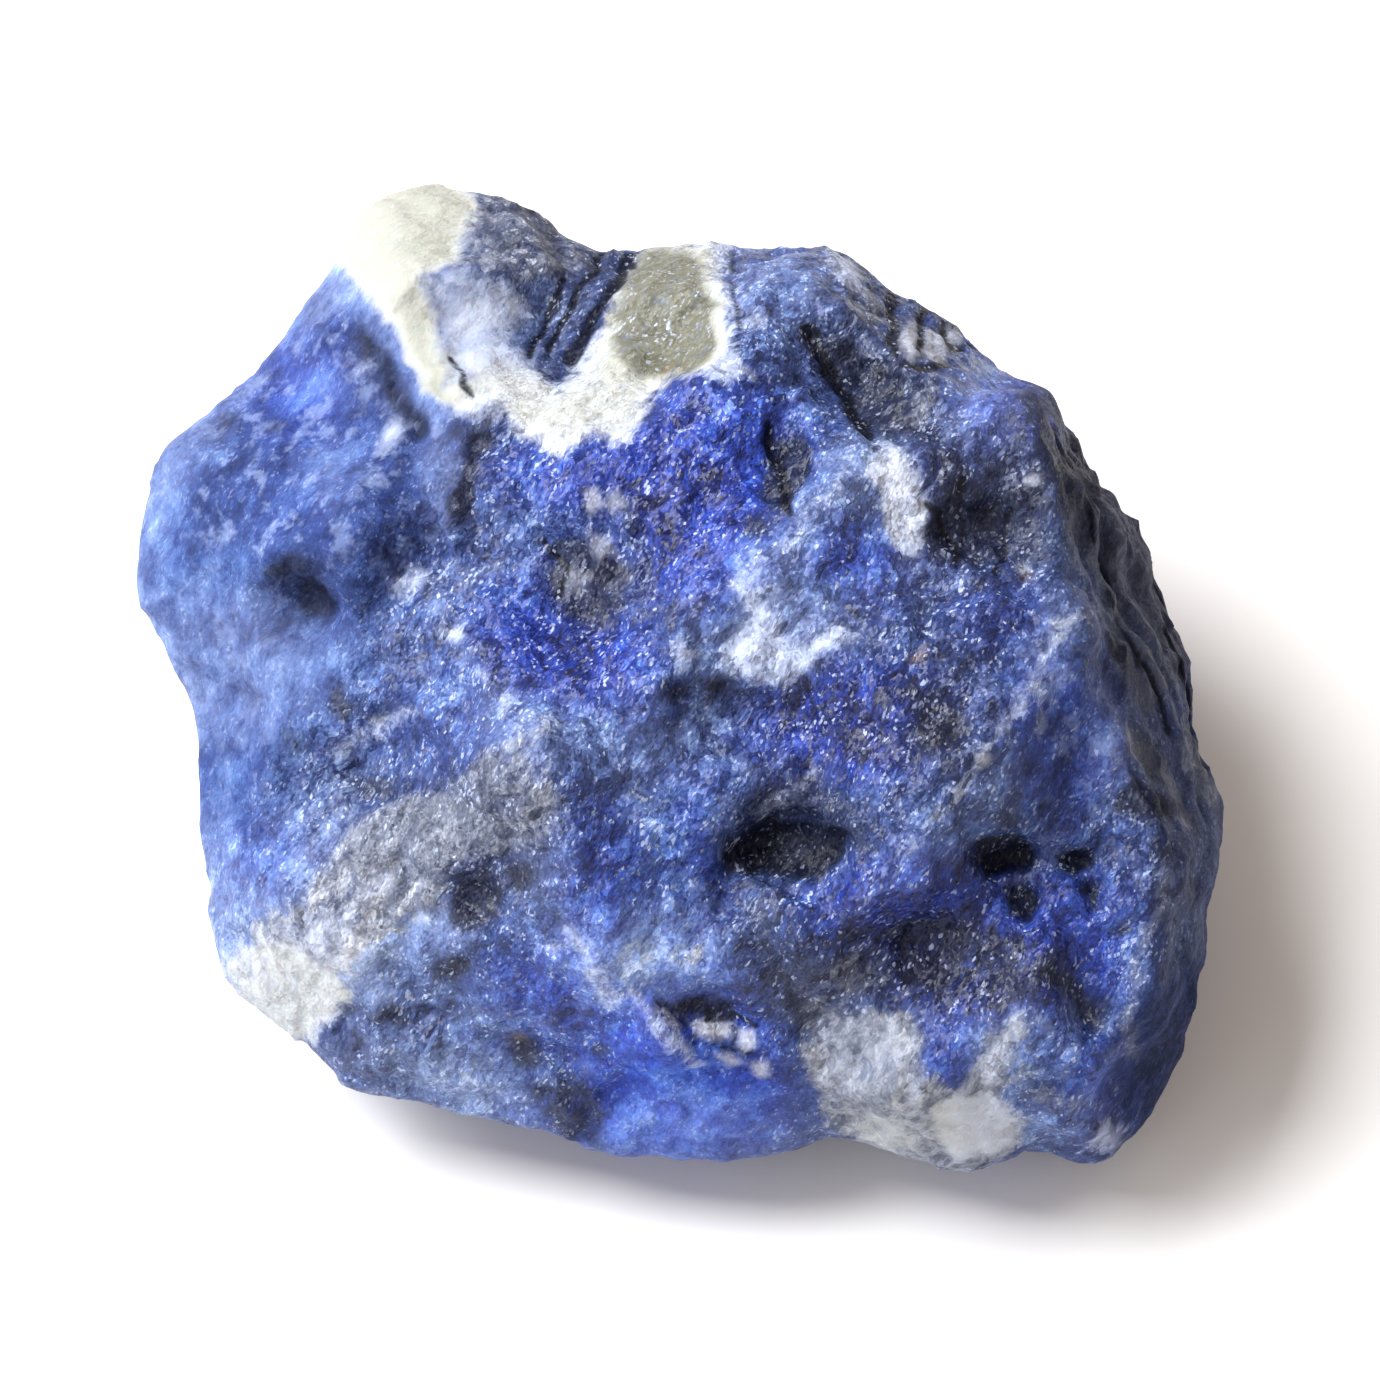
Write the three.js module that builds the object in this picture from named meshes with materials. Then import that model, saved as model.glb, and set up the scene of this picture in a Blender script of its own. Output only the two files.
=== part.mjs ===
// Rough sodalite: one broken chunk of massive sodalite, lying on a small flat spot with its broad face up.
//
// The stone is a single solid, written as a field that is below zero inside it. It is described in its own
// face frame: x to the right, y up the broad face and z out of it, in millimetres from a point inside the
// stone. An outline gives the rim where the broad face ends. Tilted facets make the broad face and, placed
// so that they just clear the rim, the hidden sides. Ridges, hollows, chips and scars are laid over them.
// One ray for each vertex of a ball finds the surface, and the stone is then leaned back so that its flat
// spot lies on z = 0, with +Z up.
import * as THREE from "three";
import { mergeVertices } from "three/addons/utils/BufferGeometryUtils.js";
import { ImprovedNoise } from "three/addons/math/ImprovedNoise.js";

// ---- Driving dimensions, mm and degrees ----
const FACE_LEAN = 30; // how far the broad face leans from level, towards -Y
const FLOOR_DEPTH = 12; // from the inner point down to the flat spot

// How the surface is meshed: rays leave a level plate inside the stone and pass through a flattened ball.
const BALL_DETAIL = 20; // 20 * (detail + 1)^2 triangles
const BALL_RADIUS = [21, 19, 10];
const BALL_FORWARD = 1.5; // the ball's centre lies this far before the plate, for more vertices in front
const PLATE_SHARE = 0.6; // size of the plate as a share of the ball
const PLATE_LEVEL = -3; // height of the plate in the face frame
const RAY_LENGTH = 40;

// The rim as seen square on to the broad face, as [x, y], anticlockwise from the right.
const RIM_RIGHT_UPPER = [
  [20.7, -0.4], [20.4, 2.0], [19.4, 4.4], [18.2, 7.0], [17.0, 8.2], [15.8, 10.4], [15.2, 12.0],
];
const RIM_TOP = [
  [14.2, 12.6], [12.8, 12.8], [12.2, 13.8], [10.6, 15.0], [8.8, 16.0], [7.2, 17.3], [5.8, 17.9],
  [2.2, 17.7], [0.7, 18.2], [-0.6, 17.7], [-2.6, 17.5], [-4.8, 18.0],
];
const RIM_KNOB = [
  [-6.0, 19.4], [-7.6, 20.1], [-10.0, 20.6], [-12.2, 20.2], [-13.4, 19.0],
];
const RIM_LEFT = [
  [-13.8, 17.4], [-15.2, 15.6], [-16.6, 13.6], [-17.8, 12.4], [-21.0, 9.8], [-21.5, 8.0], [-22.1, 5.8],
  [-21.9, 3.8], [-20.6, 0.8], [-19.8, -0.4], [-19.3, -4.0], [-19.0, -7.2], [-18.7, -10.0],
];
const RIM_BOTTOM_LEFT = [
  [-18.2, -11.8], [-16.6, -13.2], [-14.8, -14.7], [-13.2, -16.2], [-10.0, -16.6], [-7.2, -17.1],
  [-5.0, -17.6],
];
const RIM_BOTTOM = [
  [-3.2, -18.4], [-0.6, -19.0], [2.4, -19.0], [4.8, -18.3], [6.2, -17.6], [7.4, -17.9], [9.0, -18.9],
  [11.4, -19.5], [13.2, -19.0], [14.6, -18.0], [15.8, -18.5], [16.6, -19.1],
];
const RIM_RIGHT_LOWER = [
  [17.4, -18.8], [19.2, -16.8], [20.8, -14.4], [21.4, -10.4], [21.9, -6.4], [21.8, -4.0], [21.1, -2.8],
];
const RIM = [
  ...RIM_RIGHT_UPPER, ...RIM_TOP, ...RIM_KNOB, ...RIM_LEFT,
  ...RIM_BOTTOM_LEFT, ...RIM_BOTTOM, ...RIM_RIGHT_LOWER,
];

// The rim's height z at each bearing, and how far the wall above it draws in for each millimetre.
const WALLS = [
  { bearing: 0, z: -4.5, draw: 0.34 },
  { bearing: 25, z: -4.0, draw: 0.3 },
  { bearing: 42, z: -2.5, draw: 0.3 },
  { bearing: 65, z: -2.5, draw: 0.5 },
  { bearing: 90, z: -3.5, draw: 0.5 },
  { bearing: 118, z: -3.5, draw: 0.7 },
  { bearing: 145, z: -3.0, draw: 1.0 },
  { bearing: 165, z: -2.0, draw: 1.1 },
  { bearing: 185, z: -0.5, draw: 0.9 },
  { bearing: 215, z: 1.0, draw: 1.2 },
  { bearing: 240, z: 1.2, draw: 1.3 },
  { bearing: 270, z: 1.8, draw: 1.2 },
  { bearing: 300, z: 1.8, draw: 1.0 },
  { bearing: 312, z: 0.8, draw: 0.6 },
  { bearing: 325, z: -2.4, draw: 0.3 },
  { bearing: 342, z: -4.5, draw: 0.2 },
];
const BELOW_RIM_DRAW = 0.15; // the same for the wall below the rim

// The broad face is what lies under all of these tilted facets: height z at a point, and slope in x and y.
const FACE_FACETS = [
  { name: "upper_left", at: [-8, 6], z: 5.4, slope: [0.26, -0.2] },
  { name: "left", at: [-14, -1], z: 4.2, slope: [0.42, 0.0] },
  { name: "top", at: [-2, 12], z: 3.2, slope: [0.05, -0.48] },
  { name: "upper_right", at: [9, 11], z: 4.4, slope: [-0.2, -0.4] },
  { name: "right", at: [12, 1], z: 7.4, slope: [-0.22, 0.02] },
  { name: "lower_right", at: [12, -12], z: 6.4, slope: [-0.12, 0.2] },
  { name: "lower_middle", at: [0, -13], z: 6.0, slope: [0.02, 0.28] },
  { name: "lower_left", at: [-11, -10], z: 4.9, slope: [0.28, 0.18] },
  { name: "middle", at: [2, -1], z: 7.7, slope: [0.0, -0.06] },
];
const FACET_BLEND = 0.35; // radius over which neighbouring facets run together

// Crests on the broad face, as tents over a line of [x, y] points.
const RIDGES = [
  { name: "white_streak", path: [[8.0, 10.4], [5.2, 7.4], [1.6, 4.0], [-1.2, 0.0]],
    height: 0.9, width: 2.6 },
  { name: "grey_streak", path: [[14.8, 0.2], [12.2, -2.2], [8.0, -7.2], [5.4, -10.6]],
    height: 0.9, width: 2.4 },
  { name: "pale_crest", path: [[-9.2, 2.8], [-4.8, -2.8], [-4.4, -8.0], [-3.2, -11.6], [0.6, -14.4]],
    height: 0.8, width: 2.6 },
  { name: "side_crest", path: [[14.6, 10.6], [15.6, 6.4], [16.8, 2.0], [18.0, -2.8], [20.0, -7.2],
    [18.6, -11.6], [17.8, -16.0]], height: 0.9, width: 2.4 },
  { name: "vein_crest", path: [[-11.4, 15.2], [-8.4, 11.6], [-4.8, 9.8], [-1.2, 11.2], [2.4, 12.8]],
    height: 0.9, width: 2.8 },
  { name: "corner_crest", path: [[12.6, 12.4], [9.6, 13.6], [7.4, 15.0]], height: 0.7, width: 2.0 },
  { name: "grey_vein_crest", path: [[-16.0, -11.6], [-12.0, -7.6], [-7.2, -4.2]], height: 0.8, width: 3.4 },
];

// Round-topped lumps and round-bottomed hollows: ellipses with half sizes along and across the turn.
const SWELLS = [
  { name: "knob", at: [-9.8, 17.6], size: [6.0, 4.4], turn: -10, rise: 1.6 },
  { name: "bright_lobe", at: [1.0, -16.2], size: [6.0, 3.4], turn: 4, rise: 0.9 },
  { name: "white_mass", at: [10.6, -16.2], size: [5.4, 3.6], turn: 12, rise: 0.9 },
  { name: "left_swell", at: [-13.0, 8.4], size: [6.5, 5.0], turn: 40, rise: 0.8 },
  { name: "right_swell", at: [13.0, -3.4], size: [4.6, 4.0], turn: -50, rise: 0.6 },
  { name: "black_pit", at: [4.6, -6.2], size: [4.2, 3.0], turn: 18, rise: -2.0 },
  { name: "dark_trough", at: [9.8, -9.9], size: [4.4, 2.2], turn: 6, rise: -1.2 },
  { name: "twin_pit_left", at: [13.3, -7.2], size: [2.0, 2.2], turn: 0, rise: -1.2 },
  { name: "twin_pit_right", at: [16.0, -6.8], size: [2.0, 1.7], turn: 0, rise: -0.9 },
  { name: "corner_trough", at: [16.2, -12.2], size: [2.8, 1.6], turn: -38, rise: -0.8 },
  { name: "eye_pocket", at: [1.4, -13.1], size: [3.4, 2.1], turn: -28, rise: -1.4 },
  { name: "upper_trench", at: [6.8, 12.4], size: [4.2, 2.6], turn: -50, rise: -1.8 },
  { name: "blue_trench", at: [3.9, 9.2], size: [3.2, 2.0], turn: 70, rise: -1.2 },
  { name: "blocky_step", at: [12.6, 6.8], size: [3.6, 3.0], turn: 10, rise: -1.4 },
  { name: "centre_dent", at: [-3.0, 4.0], size: [4.2, 3.0], turn: 30, rise: -1.3 },
  { name: "cleaved_notch", at: [-4.6, 14.8], size: [5.2, 2.9], turn: 56, rise: -1.8 },
  { name: "knob_neck", at: [-10.4, 14.4], size: [4.4, 2.6], turn: 16, rise: -1.1 },
  { name: "left_dimple", at: [-15.2, 3.8], size: [2.8, 2.3], turn: 0, rise: -1.1 },
  { name: "lower_left_dent", at: [-9.6, -13.2], size: [5.4, 3.2], turn: -14, rise: -1.3 },
  { name: "edge_bite", at: [-3.6, -16.4], size: [2.0, 3.2], turn: 10, rise: -1.2 },
  { name: "lobe_valley", at: [5.8, -14.6], size: [4.6, 1.9], turn: -62, rise: -1.6 },
  { name: "vein_hollow", at: [0.2, 14.8], size: [3.2, 2.8], turn: 0, rise: -1.0 },
  { name: "pebble_hollow", at: [-11.6, 10.2], size: [3.0, 4.2], turn: 0, rise: -1.1 },
  { name: "centre_hollow", at: [1.8, -1.0], size: [3.6, 2.4], turn: -20, rise: -1.0 },
  { name: "left_valley", at: [-13.4, -3.4], size: [4.4, 2.6], turn: 28, rise: -1.1 },
];

// Facets of the hidden sides, by their bearing and undercut as the stone lies: an undercut of 0 is an
// upright wall, and 90 a flat underside. Each is placed so that it clears the rim by the given distance.
const HIDDEN_FACETS = [
  { name: "right_wall", bearing: -10, undercut: 14, clear: 0.0 },
  { name: "right_low", bearing: 10, undercut: 42, clear: 1.6 },
  { name: "right_back", bearing: 40, undercut: 8, clear: 0.2 },
  { name: "right_back_low", bearing: 50, undercut: 34, clear: 2.2 },
  { name: "back_wall", bearing: 80, undercut: 0, clear: 0.1 },
  { name: "back_low", bearing: 72, undercut: 24, clear: 3.0 },
  { name: "knob_back", bearing: 112, undercut: 4, clear: 0.0 },
  { name: "back_left", bearing: 138, undercut: 12, clear: 0.2 },
  { name: "back_left_low", bearing: 126, undercut: 38, clear: 2.6 },
  { name: "left_wall", bearing: 172, undercut: 18, clear: 0.1 },
  { name: "left_low", bearing: 188, undercut: 46, clear: 1.6 },
  { name: "front_left", bearing: 222, undercut: 34, clear: 0.2 },
  { name: "front_left_low", bearing: 212, undercut: 58, clear: 1.2 },
  { name: "front", bearing: 262, undercut: 40, clear: 0.2 },
  { name: "front_low", bearing: 278, undercut: 60, clear: 0.8 },
  { name: "toe_under", bearing: 306, undercut: 44, clear: 0.1 },
  { name: "toe_right", bearing: 335, undercut: 24, clear: 0.2 },
];

// Facets of the underside round the flat spot: how far out from the inner point each one leaves the ground.
const BASE_FACETS = [
  { name: "base_right", bearing: 8, undercut: 74, start: 7.5 },
  { name: "base_right_back", bearing: 48, undercut: 66, start: 8.0 },
  { name: "base_back", bearing: 100, undercut: 70, start: 8.0 },
  { name: "base_left_back", bearing: 150, undercut: 74, start: 7.5 },
  { name: "base_left", bearing: 195, undercut: 68, start: 6.5 },
  { name: "base_front_left", bearing: 238, undercut: 74, start: 6.5 },
  { name: "base_front", bearing: 270, undercut: 76, start: 6.5 },
  { name: "base_toe", bearing: 318, undercut: 81, start: 8.5 },
];

// Shell-like fracture scars on the hidden sides: balls cut out, by the bearing and undercut that they lie
// at, and by how near they come to the inner point. They are kept off the rim by SCAR_CLEAR.
const SCARS = [
  { name: "left_scar", bearing: 192, undercut: 40, near: 14.6, radius: 13 },
  { name: "back_left_scar", bearing: 136, undercut: 30, near: 15.0, radius: 12 },
  { name: "back_scar", bearing: 88, undercut: 22, near: 15.0, radius: 15 },
  { name: "right_back_scar", bearing: 44, undercut: 32, near: 15.0, radius: 12 },
  { name: "right_scar", bearing: 2, undercut: 40, near: 14.5, radius: 12 },
  { name: "front_scar", bearing: 248, undercut: 54, near: 13.4, radius: 12 },
];
const SCAR_CLEAR = 0.3;

// Stepped cleavage on the right wall: ledges that run round the stone, one above another.
const LEDGE_PITCH = 2.2;
const LEDGE_DEPTH = 0.6;
const LEDGE_BEARING = -5; // middle of the stepped wall
const LEDGE_SPREAD = 48; // half width of the stepped wall, in degrees

// Broken texture, coarse enough to be seen from a step away.
const CHIP_SIZE = 9; // across one flat chip
const CHIP_TILT = 0.16; // steepest slope of a chip, and so how high the steps between two chips are
const CHIP_STEP = 0.16; // width of the step between two chips, in chips
const SCALLOP_SIZE = 4.6; // across one shell-like scoop
const SCALLOP_DEPTH = 0.75;
const SCALLOP_BALANCE = 0.55; // mean distance to the nearest scoop's middle, in scoops
const WARP_LENGTH = 8; // how long the bends are that make straight facets irregular
const WARP_DEPTH = 0.45;
const RIM_CALM = 0.8; // the share of all this that is left out right at the rim, which keeps its outline
const RIM_CALM_HEIGHT = 2.5; // how far above and below the rim it comes back

const noise = new ImprovedNoise();

// ---- Small helpers ----
const radians = THREE.MathUtils.degToRad;
const clamp = THREE.MathUtils.clamp;

/** Smaller of a and b, rounded over the given radius. */
function smoothMin(a, b, radius) {
  const h = Math.max(radius - Math.abs(a - b), 0) / radius;
  return Math.min(a, b) - h * h * radius * 0.25;
}

/** Bearing of (x, y) in degrees. */
function bearingOf(x, y) {
  return THREE.MathUtils.radToDeg(Math.atan2(y, x));
}

/** Smallest turn between two bearings, in degrees. */
function turnBetween(a, b) {
  return Math.abs(((a - b + 540) % 360) - 180);
}

/** A number from 0 to 1 that is always the same for one lattice cell. */
function cellValue(i, j, k, channel) {
  const s = Math.sin(i * 127.1 + j * 311.7 + k * 74.7 + channel * 53.3) * 43758.5453;
  return s - Math.floor(s);
}

/** The nearest two of one scattered point per cell: each one's cell, offset and distance, in cells. */
function nearestCells(p, size) {
  const [x, y, z] = [p.x / size, p.y / size, p.z / size];
  const [i0, j0, k0] = [Math.floor(x), Math.floor(y), Math.floor(z)];
  let [first, second] = [{ distance: Infinity }, { distance: Infinity }];
  for (let i = i0 - 1; i <= i0 + 1; i++)
    for (let j = j0 - 1; j <= j0 + 1; j++)
      for (let k = k0 - 1; k <= k0 + 1; k++) {
        const point = [0, 1, 2].map((axis) => cellValue(i, j, k, axis));
        const away = [x - i - point[0], y - j - point[1], z - k - point[2]];
        const found = { cell: [i, j, k], away, distance: Math.hypot(...away) };
        if (found.distance < first.distance) [first, second] = [found, first];
        else if (found.distance < second.distance) second = found;
      }
  return [first, second];
}

/** How far a cell's own tilted plane lifts the surface. */
function chipRise({ cell, away }) {
  const slope = (axis) => (cellValue(...cell, 3 + axis) * 2 - 1) * CHIP_TILT;
  return (slope(0) * away[0] + slope(1) * away[1] + slope(2) * away[2]) * CHIP_SIZE;
}

/** Flat chips with a narrow step between neighbours. */
function chips(p) {
  const [first, second] = nearestCells(p, CHIP_SIZE);
  const share = clamp((second.distance - first.distance) / CHIP_STEP, 0, 1) / 2 + 0.5;
  return chipRise(first) * share + chipRise(second) * (1 - share);
}

/** Shell-like scoops with sharp edges between them. */
function scallops(p) {
  return SCALLOP_DEPTH * (nearestCells(p, SCALLOP_SIZE)[0].distance - SCALLOP_BALANCE);
}

/** Distance from (x, y) to a line of points. */
function distanceToPath(x, y, path) {
  let best = Infinity;
  for (let i = 1; i < path.length; i++) {
    const [ax, ay] = path[i - 1];
    const [bx, by] = [path[i][0] - ax, path[i][1] - ay];
    const along = clamp(((x - ax) * bx + (y - ay) * by) / (bx * bx + by * by), 0, 1);
    best = Math.min(best, Math.hypot(x - ax - along * bx, y - ay - along * by));
  }
  return best;
}

/** Unit vector in the face frame that points at a bearing, and down by the undercut, as the stone lies. */
function outward({ bearing, undercut }) {
  const [b, u] = [radians(bearing), radians(undercut)];
  const asItLies = new THREE.Vector3(Math.cos(u) * Math.cos(b), Math.cos(u) * Math.sin(b), -Math.sin(u));
  return asItLies.applyAxisAngle(new THREE.Vector3(1, 0, 0), -radians(FACE_LEAN));
}

// ---- The stone as a field: below zero inside, above zero outside, close to a distance in millimetres ----

/** Radius of the rim at a bearing in degrees, where the ray at that bearing crosses the outline. */
function rimRadius(bearing) {
  const [c, s] = [Math.cos(radians(bearing)), Math.sin(radians(bearing))];
  let radius = 0;
  for (let i = 0; i < RIM.length; i++) {
    const [ax, ay] = RIM[i];
    const [bx, by] = RIM[(i + 1) % RIM.length];
    const [across0, across1] = [c * ay - s * ax, c * by - s * bx];
    const along = c * ax + s * ay;
    if (across0 <= 0 && across1 > 0 && along > 0) {
      const share = across0 / (across0 - across1);
      radius = Math.max(radius, along + share * (c * bx + s * by - along));
    }
  }
  return radius;
}

/** The wall table at a bearing in degrees, blended between its two neighbours. */
function wallAt(bearing) {
  const degrees = (bearing + 360) % 360;
  const next = WALLS.findIndex((w) => w.bearing > degrees);
  const b = WALLS[next < 0 ? 0 : next];
  const a = WALLS[(next < 0 ? WALLS.length : next) - 1];
  const span = (b.bearing - a.bearing + 360) % 360;
  const share = (degrees - a.bearing) / span;
  return { z: a.z + (b.z - a.z) * share, draw: a.draw + (b.draw - a.draw) * share };
}

/** The walls: how far a point stands outside the rim, once the wall has drawn in above and below it. */
function wallField(p) {
  const bearing = bearingOf(p.x, p.y);
  const wall = wallAt(bearing);
  const rise = p.z - wall.z;
  const draw = rise > 0 ? wall.draw : BELOW_RIM_DRAW;
  const ledges = clamp(1 - turnBetween(bearing, LEDGE_BEARING) / LEDGE_SPREAD, 0, 1);
  const step = (rise / LEDGE_PITCH - Math.floor(rise / LEDGE_PITCH) - 0.5) * LEDGE_DEPTH * ledges;
  const outside = Math.hypot(p.x, p.y) - rimRadius(bearing) + Math.abs(rise) * draw - step;
  return outside / Math.hypot(1, draw);
}

/** Rise of one swell over a point: full in its middle, and running out level at its edge. */
function swellHeight(swell, x, y) {
  const [c, s] = [Math.cos(radians(swell.turn)), Math.sin(radians(swell.turn))];
  const [dx, dy] = [x - swell.at[0], y - swell.at[1]];
  const out = Math.hypot((dx * c + dy * s) / swell.size[0], (dy * c - dx * s) / swell.size[1]);
  return out < 1 ? swell.rise * (1 - out * out) ** 2 : 0;
}

/** Height of the broad face over a point, before the chips. */
function faceHeight(x, y) {
  const heights = FACE_FACETS.map((f) => f.z + f.slope[0] * (x - f.at[0]) + f.slope[1] * (y - f.at[1]));
  let z = heights.reduce((low, height) => smoothMin(low, height, FACET_BLEND));
  for (const r of RIDGES) z += r.height * Math.max(0, 1 - distanceToPath(x, y, r.path) / r.width);
  for (const swell of SWELLS) z += swellHeight(swell, x, y);
  return z;
}

/** The plane of one hidden facet, brought in until it clears the rim by the facet's clearance. */
function hiddenPlane(facet) {
  const normal = outward(facet);
  const reach = Math.max(...rimPoints.map((q) => normal.dot(q)));
  return new THREE.Plane(normal, -reach - facet.clear);
}

/** The ball of one scar, as near as it says or as the rim allows. */
function scarBall(scar) {
  const toward = outward(scar);
  const keepOff = scar.radius + SCAR_CLEAR;
  const rimReaches = rimPoints.map((q) => {
    const along = toward.dot(q);
    return along + Math.sqrt(Math.max(0, along ** 2 - q.lengthSq() + keepOff ** 2));
  });
  const reach = Math.max(scar.near + scar.radius, ...rimReaches);
  return new THREE.Sphere(toward.multiplyScalar(reach), scar.radius);
}

/** The plane of one base facet, through the line where it leaves the ground. */
function basePlane(facet) {
  const normal = outward(facet);
  const start = outward({ bearing: facet.bearing, undercut: 0 }).multiplyScalar(facet.start);
  start.addScaledVector(groundward, FLOOR_DEPTH);
  return new THREE.Plane().setFromNormalAndCoplanarPoint(normal, start);
}

const rimPoints = RIM.map(([x, y]) => new THREE.Vector3(x, y, wallAt(bearingOf(x, y)).z));
const groundward = outward({ bearing: 0, undercut: 90 });
const floorPlane = new THREE.Plane(groundward, -FLOOR_DEPTH);
const hiddenPlanes = [...HIDDEN_FACETS.map(hiddenPlane), ...BASE_FACETS.map(basePlane)];
const scarBalls = SCARS.map(scarBall);

/** The share of the broken texture that a point has, which is less near the rim. */
function textureShare(p) {
  const rise = p.z - wallAt(bearingOf(p.x, p.y)).z;
  return 1 - RIM_CALM * Math.exp(-((rise / RIM_CALM_HEIGHT) ** 2));
}

/** The stone at a point. */
function stoneField(point) {
  const p = point.clone();
  const share = textureShare(p);
  const [u, v, w] = [p.x / WARP_LENGTH, p.y / WARP_LENGTH, p.z / WARP_LENGTH];
  p.x += share * WARP_DEPTH * noise.noise(u, v, w + 11);
  p.y += share * WARP_DEPTH * noise.noise(u + 23, v, w);
  p.z += share * WARP_DEPTH * noise.noise(u, v + 37, w);
  let field = Math.max(wallField(p), p.z - faceHeight(p.x, p.y));
  for (const plane of hiddenPlanes) field = Math.max(field, plane.distanceToPoint(p));
  for (const ball of scarBalls) field = Math.max(field, -ball.distanceToPoint(p));
  return Math.max(field - share * (chips(p) + scallops(p)), floorPlane.distanceToPoint(point));
}

/** The outermost point where a ray from a start inside the stone leaves it. */
function surfacePoint(start, direction) {
  const point = new THREE.Vector3();
  const fieldAt = (distance) => stoneField(point.copy(start).addScaledVector(direction, distance));
  let outside = RAY_LENGTH;
  let inside = outside;
  for (let field = fieldAt(inside); field > 0 && inside > 0; field = fieldAt(inside)) {
    outside = inside;
    inside = Math.max(0, inside - Math.max(0.15, field * 0.6));
  }
  for (let i = 0; i < 20; i++) {
    const middle = (inside + outside) / 2;
    if (fieldAt(middle) < 0) inside = middle;
    else outside = middle;
  }
  return point;
}

/** The closed surface, leaned back, with its flat spot at z = 0 and its box centred on the origin. */
function stoneGeometry() {
  const ball = new THREE.IcosahedronGeometry(1, BALL_DETAIL);
  ball.deleteAttribute("normal");
  ball.deleteAttribute("uv");
  const geometry = mergeVertices(ball, 1e-5);
  const position = geometry.attributes.position;
  const ballRadius = new THREE.Vector3(...BALL_RADIUS);
  const through = new THREE.Vector3();
  for (let i = 0; i < position.count; i++) {
    through.fromBufferAttribute(position, i).multiply(ballRadius);
    const start = new THREE.Vector3(through.x * PLATE_SHARE, through.y * PLATE_SHARE, PLATE_LEVEL);
    through.z += PLATE_LEVEL + BALL_FORWARD;
    const p = surfacePoint(start, through.sub(start).normalize());
    position.setXYZ(i, p.x, p.y, p.z);
  }
  geometry.rotateX(radians(FACE_LEAN));
  geometry.computeBoundingBox();
  const { min, max } = geometry.boundingBox;
  geometry.translate(-(min.x + max.x) / 2, -(min.y + max.y) / 2, FLOOR_DEPTH);
  for (let i = 0; i < position.count; i++) if (position.getZ(i) < 1e-3) position.setZ(i, 0);
  geometry.computeVertexNormals();
  return geometry;
}

const material = new THREE.MeshStandardMaterial({
  name: "sodalite",
  color: new THREE.Color().setRGB(0.24, 0.31, 0.62, THREE.SRGBColorSpace),
  roughness: 0.45,
  metalness: 0,
  flatShading: true,
});

const stone = new THREE.Mesh(stoneGeometry(), material);
stone.name = "sodalite_stone";

const specimen = new THREE.Group();
specimen.add(stone);

export default specimen;
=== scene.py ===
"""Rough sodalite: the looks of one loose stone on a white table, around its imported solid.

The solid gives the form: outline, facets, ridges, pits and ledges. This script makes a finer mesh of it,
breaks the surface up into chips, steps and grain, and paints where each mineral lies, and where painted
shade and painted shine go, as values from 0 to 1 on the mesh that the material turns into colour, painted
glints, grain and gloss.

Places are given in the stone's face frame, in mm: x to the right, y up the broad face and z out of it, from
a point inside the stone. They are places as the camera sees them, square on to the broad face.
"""
import math
from typing import NamedTuple

import bmesh
import bpy
import numpy as np
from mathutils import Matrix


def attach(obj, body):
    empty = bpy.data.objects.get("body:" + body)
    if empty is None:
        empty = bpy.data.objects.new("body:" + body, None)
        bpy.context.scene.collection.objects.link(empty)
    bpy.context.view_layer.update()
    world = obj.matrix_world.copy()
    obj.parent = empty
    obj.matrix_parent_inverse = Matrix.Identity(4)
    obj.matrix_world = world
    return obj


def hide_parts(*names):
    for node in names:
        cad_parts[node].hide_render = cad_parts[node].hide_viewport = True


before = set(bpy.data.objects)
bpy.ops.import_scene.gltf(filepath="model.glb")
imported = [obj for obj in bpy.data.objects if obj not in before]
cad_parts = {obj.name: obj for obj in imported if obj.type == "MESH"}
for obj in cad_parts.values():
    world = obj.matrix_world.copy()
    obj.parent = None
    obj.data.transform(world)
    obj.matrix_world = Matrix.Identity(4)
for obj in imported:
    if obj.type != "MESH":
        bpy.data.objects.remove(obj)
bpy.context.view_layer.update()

MM = 0.001

# ---- The face frame and the camera ----
FACE_LEAN = math.radians(30)
LEAN_COS, LEAN_SIN = math.cos(FACE_LEAN), math.sin(FACE_LEAN)
FACE_AXES = np.array([(1, 0, 0), (0, LEAN_COS, LEAN_SIN), (0, -LEAN_SIN, LEAN_COS)])  # its x, y and z
INNER_POINT = np.array([-0.104, -1.082, 12])  # mm in the row frame
CAMERA_DISTANCE = 450  # mm from the inner point
FRAME_WIDTH = 55.2  # mm across the picture at the inner point
FRAME_CENTRE_X = 0.4  # mm in the face frame
SENSOR_WIDTH = 36
CLIP_NEAR, CLIP_FAR = 0.01, 20  # m

# ---- The stage ----
TABLE_HALF = 1.5  # m
TABLE_COLOUR = (0.86, 0.86, 0.86, 1)
TABLE_ROUGHNESS = 0.6
ROOM_COLOUR = (1, 0.86, 0.76, 1)
ROOM_STRENGTH = 0.5


class Dot(NamedTuple):
    """An ellipse: middle, half length, half width, strength, and the turn of its length in degrees."""
    x: float
    y: float
    length: float
    width: float
    amount: float = 1
    turn: float = 0


class Line(NamedTuple):
    """A band along a line of points: its half width and strength."""
    path: tuple
    width: float
    amount: float = 1


class Area(NamedTuple):
    """A polygon of corners, and its strength."""
    corners: tuple
    amount: float = 1

    def at(self, amount):
        """The same polygon at another strength."""
        return Area(self.corners, amount)


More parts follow.
